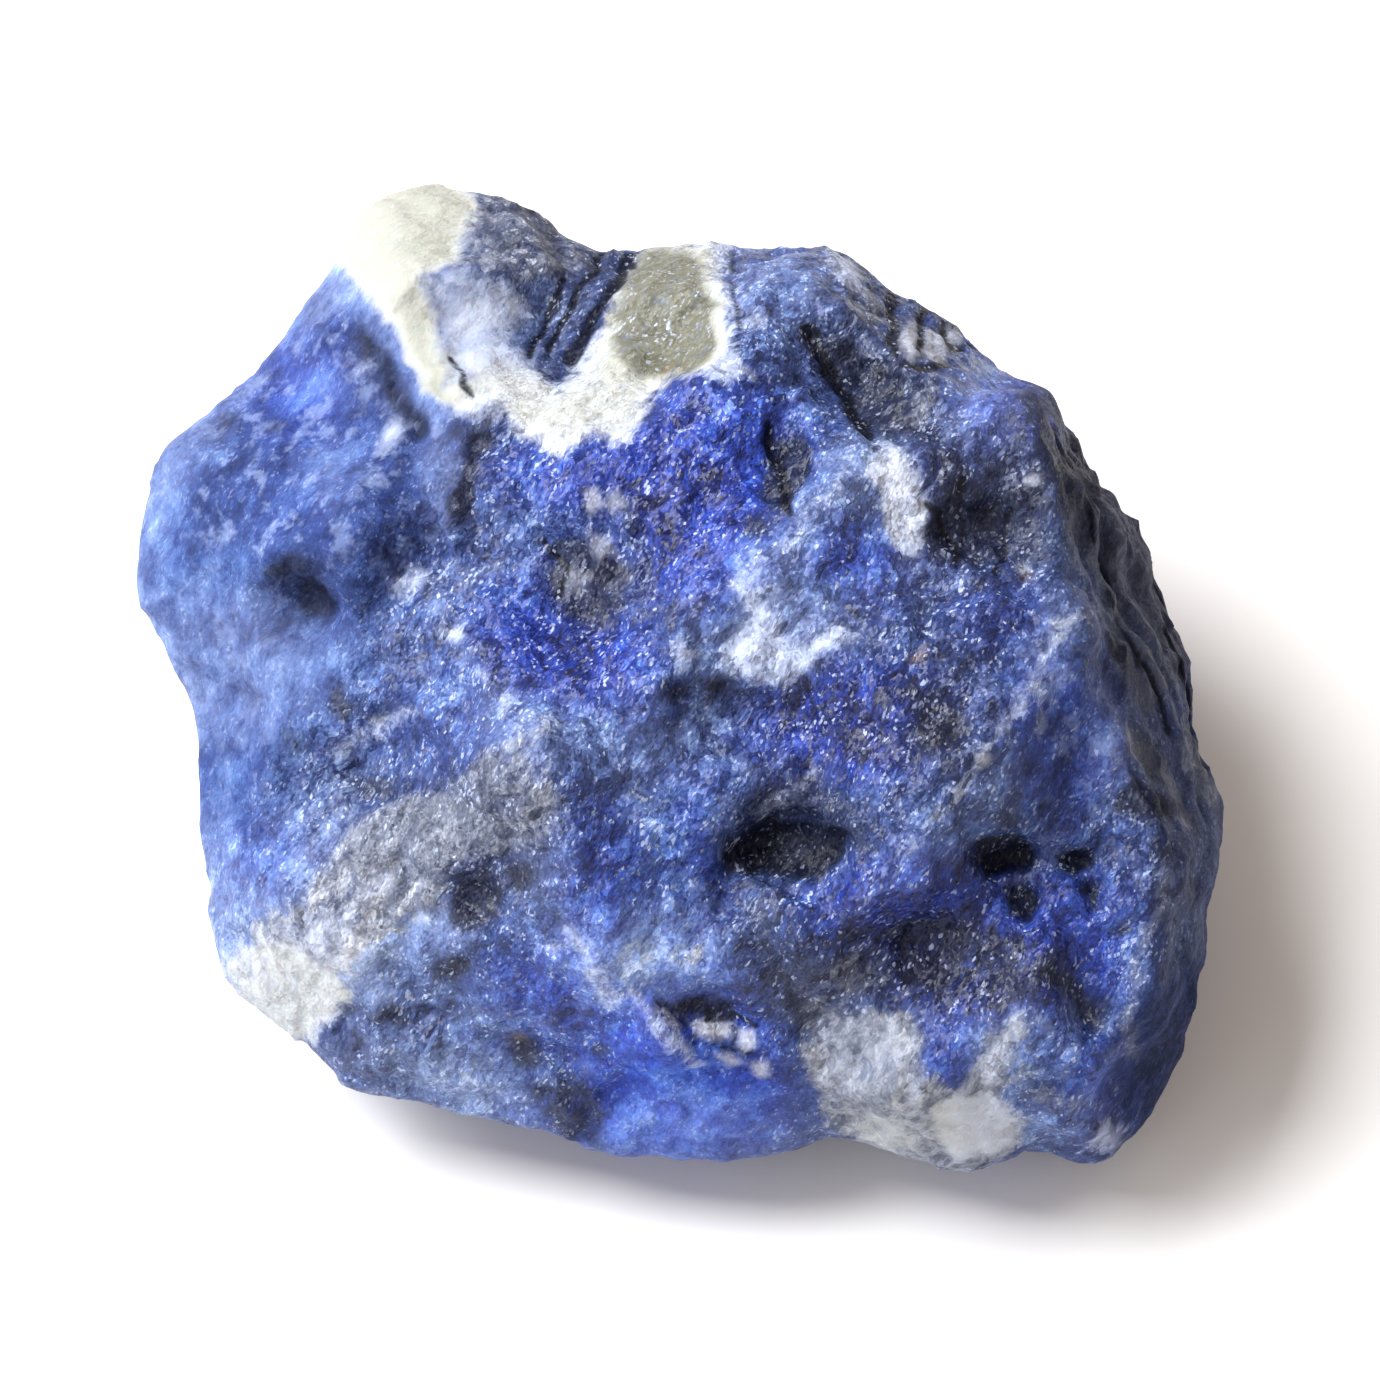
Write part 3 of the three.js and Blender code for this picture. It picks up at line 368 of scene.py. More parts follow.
CLOUDY = [  # where pale blotches of about a millimetre lie in the blue
    Dot(-14.2, 10.4, 6, 4.6, 0.8, 45), Dot(-18.4, 3, 3.4, 5, 0.5), Dot(-11.4, 11, 1.4, 2.4, 0.5),
    Dot(-12.4, -13.4, 4.6, 2.4, 0.5), Dot(15.4, -2.2, 3, 4, 0.6), Dot(3.8, 16.4, 2.4, 2, 0.5),
    Dot(12.2, 11, 2.2, 1.6, 0.5), Dot(-15.4, -4.4, 2.6, 2.6, 0.6), Dot(-5, -14, 3, 2.6, 0.3),
    Dot(15.4, -14, 2.6, 3, 0.5), Dot(1.6, -5.6, 3.4, 4, 0.4), Dot(-9.6, 4, 3, 4, 0.4),
]
GOLD = [  # rusty specks
    Dot(9.5, 1.5, 0.2, 0.14, 0.8, 40), Dot(13.6, 4.5, 0.2, 0.14, 0.7, 30),
    Dot(-0.5, 12.8, 0.4, 0.1, 0.45, 20), Dot(-6.4, -14, 0.14, 0.14, 0.5),
]
GLASS = [  # flat cleavage faces, with a painted shine as bright grey
    FLAKE_LEFT, FLAKE_MIDDLE.at(0.8), FLAKE_RIGHT.at(0.9),
    Area(((0.6, -13.3), (1.3, -13.2), (2, -13.35), (1.9, -13.8), (1.3, -14), (0.8, -13.8))),
    Area(((2.35, -13.5), (2.9, -13.65), (3, -14.3), (2.6, -14.5), (2.3, -14.1)), 0.9),
    Area(((1.4, -14.55), (2.1, -14.6), (2.5, -15), (2, -15.1)), 0.8),
    Area(((2.9, -14.95), (3.4, -14.85), (3.5, -15.4), (3.1, -15.45)), 0.9),
    Dot(-0.6, -12.85, 0.4, 0.1, 0.9, -20), Dot(-0.3, -13.3, 0.3, 0.1, 0.8, -40),
    Area(((-3.8, 7.9), (-3.3, 8.1), (-3, 7.4), (-3.5, 7.1)), 0.6),
    Area(((-2.8, 7.7), (-2.4, 8), (-2.2, 7.3), (-2.7, 7.1)), 0.55), Dot(14.1, 8.4, 0.3, 0.18),
    Dot(13.7, 4.9, 0.25, 0.15, 1, 30), Dot(12.2, -2.8, 0.25, 0.2),
    Area(((-3.6, 6.2), (-2.9, 6.1), (-2.6, 5.6), (-3.2, 5.2), (-3.6, 5.6)), 0.5),
    Area(((-5.1, 4.7), (-4.4, 4.9), (-3.6, 4.6), (-4.1, 4), (-4.9, 3.9)), 0.3),
]
CALM = [  # where the sugary grain is faint
    Area(((-26, -6), (-26, 20), (-7, 22), (-7.6, 12), (-10, 7), (-13.6, 0), (-17, -6)), 0.7),
    SHADED_SLATE_WALL.at(0.6), Dot(0.4, -16.9, 4.6, 2.6, 0.55), WHITE_MASS.at(0.6),
    Dot(19.2, -15, 3.6, 1.8, 1, 62), Dot(-15.6, -12, 2.8, 2, 0.6, 30), Dot(15, -1, 2.4, 3.2, 0.45),
    Dot(-8.3, 14.2, 2.8, 2, 0.6, 20), Dot(14.4, 11.6, 1.2, 1.2, 0.7), TRENCH.at(0.3),
]




def to_face(points):
    """Row frame to face frame, both in mm, for an (n, 3) array."""
    return (points - INNER_POINT) @ FACE_AXES.T


def from_face(points):
    """Face frame to row frame, both in mm, for an (n, 3) array."""
    return points @ FACE_AXES + INNER_POINT


# ---- Noise that is the same on every run ----
MIX_FACTORS = (73856093, 19349663, 83492791, 97531357)  # of x, y, z and the channel
MIX_AGAIN = 1274126177  # of each further round
LOW_32_BITS = 0xFFFFFFFF
LOW_16_BITS = 0xFFFF
OCTAVE_CHANNELS = 7  # from one octave's channel to the next one's
OCTAVES_REACH = 1.4  # about as far as the octaves add up to
GRAIN_CHANNELS = 3  # that place a grain's middle: the next ones are for its slopes


def lattice_value(cells, channel):
    """A number from 0 to 1 for each whole-numbered (n, 3) cell, another one in each channel."""
    a, b, c, d = MIX_FACTORS
    i, j, k = cells.astype(np.int64).T
    mixed = (i * a) ^ (j * b) ^ (k * c) ^ (channel * d)
    for _ in range(2):
        mixed = ((mixed ^ (mixed >> 13)) & LOW_32_BITS) * MIX_AGAIN & LOW_32_BITS
    return ((mixed ^ (mixed >> 16)) & LOW_16_BITS) / LOW_16_BITS


def smooth_noise(points, size, channel):
    """Smooth noise from -1 to 1, with lumps of about the given size."""
    scaled = points / size
    cell = np.floor(scaled)
    inside = scaled - cell
    share = inside ** 3 * (inside * (inside * 6 - 15) + 10)
    total = np.zeros(len(points))
    for corner in np.ndindex(2, 2, 2):
        weight = np.prod(np.where(corner, share, 1 - share), axis=1)
        total += weight * lattice_value(cell + corner, channel)
    return total * 2 - 1


def rough_noise(points, size, channel, octaves=4):
    """Noise with finer and finer lumps, about -1 to 1."""
    total = np.zeros(len(points))
    for octave in range(octaves):
        finer = 2 ** octave
        total += smooth_noise(points, size / finer, channel + octave * OCTAVE_CHANNELS) / finer
    return total / OCTAVES_REACH


def wander(points, bend, normals=None):
    """The points, each moved by up to a bend's reach: any way, or along the surface with normals."""
    size, reach, channel = bend
    moves = reach * np.stack([smooth_noise(points, size, channel + axis) for axis in range(3)], axis=1)
    if normals is not None:
        moves -= (moves * normals).sum(axis=1, keepdims=True) * normals
    return points + moves


def nearest_grains(points, size, channel):
    """The grain that each point is in, and the next one, each as (distance, cell, offset) in grains."""
    scaled = points / size
    home = np.floor(scaled)
    count = len(points)
    first = [np.full(count, np.inf), np.zeros((count, 3)), np.zeros((count, 3))]
    second = [held.copy() for held in first]
    for step in np.ndindex(3, 3, 3):
        cell = home + np.array(step) - 1
        middle = np.stack([lattice_value(cell, channel + axis) for axis in range(GRAIN_CHANNELS)], axis=1)
        offset = scaled - cell - middle
        distance = np.linalg.norm(offset, axis=1)
        nearer = distance < first[0]
        closer = ~nearer & (distance < second[0])
        for held, found, moved in zip(second, (distance, cell, offset), first):
            held[nearer] = moved[nearer]
            held[closer] = found[closer]
        for held, found in zip(first, (distance, cell, offset)):
            held[nearer] = found[nearer]
    return first, second


# ---- The mesh ----
SEEN_CUTS = 4  # of each edge of a triangle that the camera sees
HIDDEN_CUTS = 2  # and on the other sides
SEEN_FACING = -0.15  # cosine from which a triangle counts as seen
MERGE_DISTANCE = 1e-7  # m: corners this close are one
SMOOTHING_ROUNDS = 15
SMOOTHING_SHARE = 0.5  # of the way to the neighbours' mean, in each round
FLAT_SPOT_LEVEL = 0.05  # mm: what lies below this is the flat spot


def numbers(items, name, each, kind=float):
    """What all items say under a name, as an array with a row for each item."""
    values = np.zeros(len(items) * each, dtype=kind)
    items.foreach_get(name, values)
    return values.reshape(-1, each)


def split_edges(form):
    """Cuts the edges of a bmesh: more often on the side that the camera sees."""
    form.normal_update()
    seen, hidden = [], []
    for edge in form.edges:
        facing = max(np.dot(face.normal, FACE_AXES[2]) for face in edge.link_faces)
        (seen if facing > SEEN_FACING else hidden).append(edge)
    for edges, cuts in ((seen, SEEN_CUTS), (hidden, HIDDEN_CUTS)):
        bmesh.ops.subdivide_edges(form, edges=edges, cuts=cuts, use_grid_fill=True)
    bmesh.ops.triangulate(form, faces=form.faces)


def fine_mesh(node):
    """A mesh of the node's form with finer triangles, and its points in mm."""
    fine = bmesh.new()
    fine.from_mesh(node.data)
    bmesh.ops.remove_doubles(fine, verts=fine.verts, dist=MERGE_DISTANCE)
    split_edges(fine)
    mesh = bpy.data.meshes.new("rough_sodalite")
    fine.to_mesh(mesh)
    fine.free()
    return mesh, numbers(mesh.vertices, "co", 3) / MM


def smoothed(mesh, points):
    """The points, each moved towards the mean of its neighbours in every round of smoothing."""
    a, b = numbers(mesh.edges, "vertices", 2, np.int64).T
    count = np.bincount(np.append(a, b), minlength=len(points))[:, None]
    for _ in range(SMOOTHING_ROUNDS):
        total = np.zeros_like(points)
        np.add.at(total, a, points[b])
        np.add.at(total, b, points[a])
        points = points + SMOOTHING_SHARE * (total / count - points)
    return points


def vertex_normals(mesh, points):
    """The normal at each vertex of a mesh of triangles, if its vertices were at these points."""
    corners = numbers(mesh.polygons, "vertices", 3, np.int64).T
    a, b, c = (points[corner] for corner in corners)
    faces = np.cross(b - a, c - a)
    normals = np.zeros_like(points)
    for corner in corners:
        np.add.at(normals, corner, faces)
    return normals / np.linalg.norm(normals, axis=1, keepdims=True)


# ---- How far each shape covers the face ----
# Half the width in mm over which a mineral, a shade or a small mark comes in
EDGE_SOFTNESS, SHADE_SOFTNESS, WARM_SOFTNESS = 0.5, 1.2, 0.6
PIT_SOFTNESS, GOLD_SOFTNESS, CRACK_SOFTNESS, GLASS_SOFTNESS = 0.35, 0.2, 0.16, 0.15


def distance_to_line(path, x, y):
    """The distance from each point to the nearest stretch of a line."""
    nearest = np.full(len(x), np.inf)
    for (ax, ay), (bx, by) in zip(path, path[1:]):
        along = ((x - ax) * (bx - ax) + (y - ay) * (by - ay)) / ((bx - ax) ** 2 + (by - ay) ** 2)
        along = np.clip(along, 0, 1)
        nearest = np.minimum(nearest, np.hypot(x - ax - along * (bx - ax), y - ay - along * (by - ay)))
    return nearest


def inside_corners(corners, x, y):
    """Whether a ray to the right from each point crosses the polygon's sides an odd number of times."""
    inside = np.zeros(len(x), dtype=bool)
    for (ax, ay), (bx, by) in zip(corners, corners[1:] + corners[:1]):
        if ay != by:
            crossing = (ay > y) != (by > y)
            inside ^= crossing & (x < ax + (y - ay) * (bx - ax) / (by - ay))
    return inside


def turned(x, y, degrees):
    """How far along and across a direction each place lies."""
    c, s = math.cos(math.radians(degrees)), math.sin(math.radians(degrees))
    return x * c + y * s, y * c - x * s


def distance_outside(shape, x, y):
    """How far outside a shape each point is, in mm, and below zero inside it."""
    if isinstance(shape, Area):
        edge = distance_to_line(shape.corners + shape.corners[:1], x, y)
        return np.where(inside_corners(shape.corners, x, y), -edge, edge)
    if isinstance(shape, Line):
        return distance_to_line(shape.path, x, y) - shape.width
    along, across = turned(x - shape.x, y - shape.y, shape.turn)
    out = np.hypot(along / shape.length, across / shape.width)
    return (out - 1) * math.sqrt(shape.length * shape.width)


def strength(shape, x, y, softness):
    """A shape's strength at each point: all of it inside, half of it on the edge and none outside."""
    return np.clip(0.5 - distance_outside(shape, x, y) / (2 * softness), 0, 1) * shape.amount


def cover(shapes, x, y, softness=EDGE_SOFTNESS):
    """The strength of the strongest shape at each point."""
    return np.max([strength(shape, x, y, softness) for shape in shapes], axis=0)


def added(shapes, x, y, softness=SHADE_SOFTNESS):
    """The shapes' strengths at each point, added up."""
    return np.sum([strength(shape, x, y, softness) for shape in shapes], axis=0)


# ---- The painted values ----
# Noise: the size of its lumps in mm, and its channel
RIM_NOISE = (3, 221)
LUMPS = (5, 231)
VEIN_NOISE = (13, 241)
BLOTCHES = (4, 251)
ROYAL_NOISE = (6, 271)
# Bends: the size of their lumps and their reach in mm, and their channel
WIDE_BEND = (1.5, 0.36, 201)
FINE_BEND = (0.6, 0.2, 211)
GLASS_BEND = (0.6, 0.1, 261)
CRACK_BEND = (0.8, 0.2, 281)
VEIN_BEND = (2.4, 0.7, 291)

HIDDEN_FACING = 0.2  # how far a side turns away before it has its own minerals
HIDDEN_FADE = 0.3
RIM_WAVER = 0.1  # of that facing, so that the change follows no line
DETAIL_FACING = 0.04  # how far a side still faces the camera where small marks end
DETAIL_FADE = 0.3

BLUE_LEVEL = 0.37  # of the blue, from deep to milky
LUMPS_LEVEL = 0.17  # how far the lumps change it
PAINTED_LEVEL = 0.5  # how far PALE and DEEP do

VEIN_SHARPNESS = 6  # of the hidden sides' veins
VEIN_STRENGTH, VEIN_BREAKS, VEIN_MOST = 0.45, 1.7, 1.2
GREY_SPREAD, GREY_MOST = 0.5, 0.8
BLOTCH_GAIN, BLOTCH_START = 2.4, 0.5
ROYAL_LEVEL, ROYAL_GAIN = 0.5, 1.5
# What follows the lumps on the hidden sides: level, how far the lumps change it, and strength
LUMPY = {"slate": (0.3, 1, 0.6), "warm": (0.2, 0.5, 1), "sugar": (0.7, 1, 1), "cloud": (0.4, 1, 1)}


def as_seen(face_points):
    """Where the camera sees each point, as x and y in the face frame."""
    shrink = CAMERA_DISTANCE / (CAMERA_DISTANCE - face_points[:, 2])
    return face_points[:, 0] * shrink, face_points[:, 1] * shrink


def face_minerals(points, normals):
    """The broad face's painted values. The small marks fade where the surface turns away."""
    x, y = as_seen(wander(wander(points, WIDE_BEND, normals), FINE_BEND, normals))
    glass_xy = as_seen(wander(points, GLASS_BEND, normals))
    crack_xy = as_seen(wander(points, CRACK_BEND, normals))
    square_on = np.clip((normals[:, 2] - DETAIL_FACING) / DETAIL_FADE, 0, 1)
    return {
        "white": cover(WHITE, x, y),
        "grey": cover(GREY, x, y),
        "dark": cover(DARK, x, y),
        "wall": cover([SHADED_SLATE_WALL], x, y),
        "slate": np.clip(added(SLATE, x, y), 0, 1),
        "royal": np.clip(added(ROYAL, x, y), 0, 1),
        "cloud": np.clip(added(CLOUDY, x, y), 0, 1),
        "sugar": np.clip(1 - added(CALM, x, y), 0, 1),
        "warm": added(WARM, x, y, WARM_SOFTNESS),
        "pale": added(PALE, x, y),
        "deep": added(DEEP, x, y),
        "trench": square_on * cover([TRENCH], x, y),
        "pit": square_on * cover([MAIN_PIT, *SMALL_PITS], x, y, PIT_SOFTNESS),
        "gold": square_on * cover(GOLD, x, y, GOLD_SOFTNESS),
        "crack": square_on * cover(CRACKS, *crack_xy, CRACK_SOFTNESS),
        "glass": square_on * cover(GLASS, *glass_xy, GLASS_SOFTNESS),
    }


def hidden_minerals(points, lumps):
    """Natural values for the sides that the camera doesn't see: broken veins, blotches and lumps."""
    path = rough_noise(wander(points, VEIN_BEND), *VEIN_NOISE, octaves=2)
    breaks = np.clip(VEIN_STRENGTH + VEIN_BREAKS * lumps, 0, VEIN_MOST)
    veins = (1 - np.abs(path) * VEIN_SHARPNESS) * breaks
    values = {
        "white": np.clip(veins, 0, 1),
        "grey": np.clip(veins + GREY_SPREAD * lumps, 0, 1) * GREY_MOST,
        "dark": np.clip(rough_noise(points, *BLOTCHES) * BLOTCH_GAIN - BLOTCH_START, 0, 1),
        "royal": np.clip(ROYAL_LEVEL + ROYAL_GAIN * smooth_noise(points, *ROYAL_NOISE), 0, 1),
    }
    for name, (level, gain, most) in LUMPY.items():
        values[name] = np.clip(level + gain * lumps, 0, 1) * most
    return values


def minerals(points, normals):
    """Every painted value for each point, from the broad face and the hidden sides."""
    waver = RIM_WAVER * smooth_noise(points, *RIM_NOISE)
    front = np.clip((normals[:, 2] + HIDDEN_FACING + waver) / HIDDEN_FADE + 0.5, 0, 1)
    lumps = rough_noise(points, *LUMPS)
    hidden = hidden_minerals(points, lumps)
    values = {}
    for name, value in face_minerals(points, normals).items():
        values[name] = value * front + hidden.get(name, 0) * (1 - front)
    pale, deep = PAINTED_LEVEL * values.pop("pale"), PAINTED_LEVEL * values.pop("deep")
    values["haze"] = np.clip(pale, 0, 1)
    values["milk"] = np.clip(BLUE_LEVEL + LUMPS_LEVEL * lumps + pale - deep, 0, 1)
    return values


# ---- The broken surface ----
class Chips(NamedTuple):
    """Flat chips: size in mm, steepest slope, width in chips of the step between two, channel, the share of
    their rise that calm places lack, and the mineral that has them."""
    size: float
    slope: float
    step: float
    channel: int
    calmed: float
    mineral: str = ""


CHIPS = [
    Chips(2.6, 0.12, 0.14, 20, 0.4), Chips(1, 0.12, 0.3, 30, 0.7),
    Chips(1.3, 0.3, 0.12, 40, 0, "dark"), Chips(0.9, 0.4, 0.12, 60, 1, "grey"),
]
# Long steps: the painted part that has them, their direction in degrees, and their spacing and height in mm
LEDGES = [("wall", -64, 1.5, 0.12), ("trench", 62, 0.8, 0.18)]
LEDGE_CLIMB = 0.7  # share of a ledge's width over which it rises
HOLLOWS = {"dark": 0.15, "crack": 0.13, "pit": 0.45}  # mm that each goes in
GRIT = (1.1, 50)  # the size of its lumps in mm, and its channel
GRIT_RISE = 0.1  # mm
GRIT_CALMED = 0.5  # the share of it that calm places lack
CHIP_BEND = (2, 0.6, 101)
LEDGE_BEND = (2.6, 0.5, 111)


def chip_rise(points, chips):
    """Rise in mm of flat chips, each tilted its own way, with a narrow step between two."""
    first, second = nearest_grains(points, chips.size, chips.channel)
    share = np.clip((second[0] - first[0]) / chips.step, 0, 1) / 2 + 0.5

    def rise(grain):
        _, cell, offset = grain
        slope_channel = chips.channel + GRAIN_CHANNELS
        slopes = np.stack([lattice_value(cell, slope_channel + axis) * 2 - 1 for axis in range(3)], axis=1)
        return (slopes * offset).sum(axis=1) * chips.slope * chips.size

    return rise(first) * share + rise(second) * (1 - share)


def ledge_rise(points, direction, spacing, height):
    """Rise in mm of long steps: up gently, then down."""
    _, across = turned(points[:, 0], points[:, 1], direction)
    share = across / spacing % 1
    return height * np.minimum(share / LEDGE_CLIMB, (1 - share) / (1 - LEDGE_CLIMB))


def surface_rise(points, values):
    """How far the broken surface stands out from the solid's form, in mm."""
    calm = 1 - values["sugar"]
    rise = GRIT_RISE * rough_noise(points, *GRIT) * (1 - GRIT_CALMED * calm)
    bent = wander(points, CHIP_BEND)
    for chips in CHIPS:
        share = values[chips.mineral] if chips.mineral else 1
        rise += share * (1 - chips.calmed * calm) * chip_rise(bent, chips)
    stepped = wander(points, LEDGE_BEND)
    for part, *ledges in LEDGES:
        rise += values[part] * ledge_rise(stepped, *ledges)
    for name, depth in HOLLOWS.items():
        rise -= depth * values[name]
    return rise


def new_object(name, data):
    """An object in the scene."""
    item = bpy.data.objects.new(name, data)
    bpy.context.scene.collection.objects.link(item)
    return item


def stone_piece(node):
    """The stone: the solid's form, smoothed and broken up, with the painted values on its mesh."""
    mesh, solid = fine_mesh(node)
    points = smoothed(mesh, solid)
    normals = vertex_normals(mesh, points)
    face_points = to_face(points)
    values = minerals(face_points, to_face(points + normals) - face_points)
    points = points + normals * surface_rise(face_points, values)[:, None]
    points[solid[:, 2] < FLAT_SPOT_LEVEL, 2] = 0
    points[:, 2] = np.maximum(points[:, 2], 0)
    mesh.vertices.foreach_set("co", (points * MM).ravel())
    for name, value in values.items():
        mesh.attributes.new(name, "FLOAT", "POINT").data.foreach_set("value", value)
    mesh.shade_smooth()
    mesh.update()
    return new_object("rough_sodalite", mesh)


# ---- Materials ----
def linear(red, green, blue):
    """An sRGB colour of 0 to 255 as Blender's linear one."""
    channels = [v / 255 for v in (red, green, blue)]
    return tuple(v / 12.92 if v <= 0.04045 else ((v + 0.055) / 1.055) ** 2.4 for v in channels) + (1,)


DUSTY_BLUE = [(0, (14, 20, 46)), (0.2, (27, 41, 86)), (0.4, (43, 62, 119)), (0.6, (72, 98, 155)),
              (0.8, (114, 141, 190)), (1, (180, 195, 218))]
ROYAL_BLUE = [(0, (11, 19, 60)), (0.2, (20, 38, 118)), (0.4, (33, 60, 160)), (0.6, (57, 97, 193)),
              (0.8, (102, 138, 211)), (1, (178, 196, 224))]
COOL_WHITE_TO_OLIVE = [(0, (172, 183, 212)), (0.3, (187, 192, 199)), (0.55, (174, 176, 168)),
                       (1, (108, 108, 94))]
GREY_GRAIN = [(0, (60, 67, 88)), (0.4, (96, 103, 122)), (0.75, (140, 145, 159)), (1, (194, 197, 205))]
SLATE_GRAIN = [(0, (15, 20, 38)), (0.4, (37, 46, 76)), (0.75, (68, 81, 122)), (1, (134, 146, 182))]
DARK_GRAIN = [(0.1, (7, 10, 24)), (0.5, (20, 26, 50)), (0.8, (50, 60, 92)), (1, (112, 122, 154))]
SHADED_WHITE = linear(120, 132, 164)
# painted shine of the glassy cleavage faces
PAINTED_SHINE_GREY = linear(168, 173, 190)
# painted glints: the colour of sugary grains that seem to catch the light
PAINTED_GLINT_BLUE = linear(190, 202, 232)
HAZE_BLUE = linear(158, 170, 202)
BLOTCH_BLUE = linear(134, 150, 190)
# painted shade in the cracks and pits
HOLLOW_SHADE_BLACK = linear(12, 14, 26)
GOLDEN = linear(124, 100, 54)

# Sizes of the textures in mm, and how far their contrast is raised
MOTTLE_SIZE, MOTTLE_GAIN = 1.7, 1.5
SPECKLE_SIZE, DUST_SIZE, GRAIN_GAIN = 0.6, 0.12, 2.4
FLAKE_SIZE, CHIP_SIZE, SUGAR_SIZE = 0.6, 0.34, 0.1
BLOTCH_SIZE = 1.1
STROKE_DIRECTION = math.radians(62)  # of the long sugary grains: up and to the right
STROKE_STRETCH = 1.7
STROKE_BEND_SIZE, STROKE_BEND = 1.3, 0.4

# Where each thing starts and is complete
FAINT_END = 0.3  # below this a painted value fades out whatever its grain says
BLOTCH_STEP = (0.5, 0.68)
SHADE_STEP = (0.42, -0.05)  # of a white place's tone, from lit to shaded
PAINTED_GLINT_STEP = (0.88, 1.08)

# How strongly each thing covers what lies under it
BLOTCH_SHARE, SLATE_SHARE, DARK_SHARE = 0.6, 0.85, 0.92
PIT_SHARE, HOLLOW_SHARE, PAINTED_GLINT_SHARE = 0.7, 0.9, 0.62
BUMP_STRENGTH = 0.6
SCATTER_DEPTH = 0.6 * MM


class Nodes:
    """A material's node tree, with one short call for each kind of node."""

    def __init__(self, name):
        self.material = bpy.data.materials.new(name)
        self.material.use_nodes = True
        self.tree = self.material.node_tree
        self.shader = self.tree.nodes["Principled BSDF"]

    def put(self, value, socket):
        """Links an output to a socket, or sets the socket to a value."""
        if isinstance(value, bpy.types.NodeSocket):
            self.tree.links.new(value, socket)
        else:
            socket.default_value = value

    def add(self, kind, inputs=(), **settings):
        """A node with its settings and its inputs, by name or number."""
        node = self.tree.nodes.new(kind)
        for name, value in settings.items():
            setattr(node, name, value)
        for key, value in dict(inputs).items():
            self.put(value, node.inputs[key])
        return node

    def finish(self, inputs):
        """The material, with these inputs of its shader."""
        for name, value in inputs.items():
            self.put(value, self.shader.inputs[name])
        return self.material

    def value(self, name):
        """A value that is painted on the mesh."""
        return self.add("ShaderNodeAttribute", attribute_name=name).outputs["Fac"]

    def math(self, operation, a, b, clamp=False):
        return self.add("ShaderNodeMath", {0: a, 1: b}, operation=operation, use_clamp=clamp).outputs[0]

    def vector(self, operation, a, b):
        return self.add("ShaderNodeVectorMath", {0: a, 1: b}, operation=operation).outputs["Vector"]

    def mapping(self, place, **settings):
        return self.add("ShaderNodeMapping", {"Vector": place, **settings}).outputs["Vector"]

    def times(self, a, b, clamp=False):
        return self.math("MULTIPLY", a, b, clamp)

    def sum(self, start, *parts):
        """The start, and the (weight, value) parts added to it."""
        total = start
        for weight, value in parts:
            total = self.math("ADD", self.times(value, weight), total)
        return total

    def contrast(self, value, gain):
        """Noise of 0 to 1 as about -1/2 to 1/2, with its swing made larger."""
        return self.times(self.math("SUBTRACT", value, 0.5), gain)

    def step(self, value, low, high):
        """Smoothly from 0 at low to 1 at high."""
        inputs = {"Value": value, "From Min": low, "From Max": high}
        return self.add("ShaderNodeMapRange", inputs, interpolation_type="SMOOTHSTEP").outputs["Result"]

    def mix(self, share, a, b):
        """Colour a with a share of colour b over it."""
        node = self.add("ShaderNodeMix", data_type="RGBA")
        for identifier, value in (("Factor_Float", share), ("A_Color", a), ("B_Color", b)):
            self.put(value, next(s for s in node.inputs if s.identifier == identifier))
        return next(s for s in node.outputs if s.identifier == "Result_Color")

    def ramp(self, value, stops):
        """The colour of a value, between (position, colour) stops."""
        node = self.add("ShaderNodeValToRGB", {"Fac": value})
        elements = node.color_ramp.elements
        while len(elements) < len(stops):
            elements.new(0.5)
        for element, (position, colour) in zip(elements, stops):
            element.position = position
            element.color = linear(*colour)
        return node.outputs["Color"]

    def noise(self, place, size, detail, roughness=0.6):
        """Noise from 0 to 1 with lumps of about the given size, at a place in mm."""
        inputs = {"Vector": place, "Scale": 1 / size, "Detail": detail, "Roughness": roughness}
        return self.add("ShaderNodeTexNoise", inputs).outputs["Fac"]


class Facets:
    """Flat grains of one size in mm, each tilted its own way: their height and a tone from 0 to 1."""

    def __init__(self, n, place, size):
        grains = n.add("ShaderNodeTexVoronoi", {"Vector": place, "Scale": 1 / size})
        slopes = n.vector("SUBTRACT", grains.outputs["Color"], (0.5, 0.5, 0.5))
        offset = n.vector("SUBTRACT", place, grains.outputs["Position"])
        height = n.add("ShaderNodeVectorMath", {0: slopes, 1: offset}, operation="DOT_PRODUCT")
        self.height = height.outputs["Value"]
        self.tone = n.add("ShaderNodeSeparateColor", {"Color": grains.outputs["Color"]}).outputs["Red"]


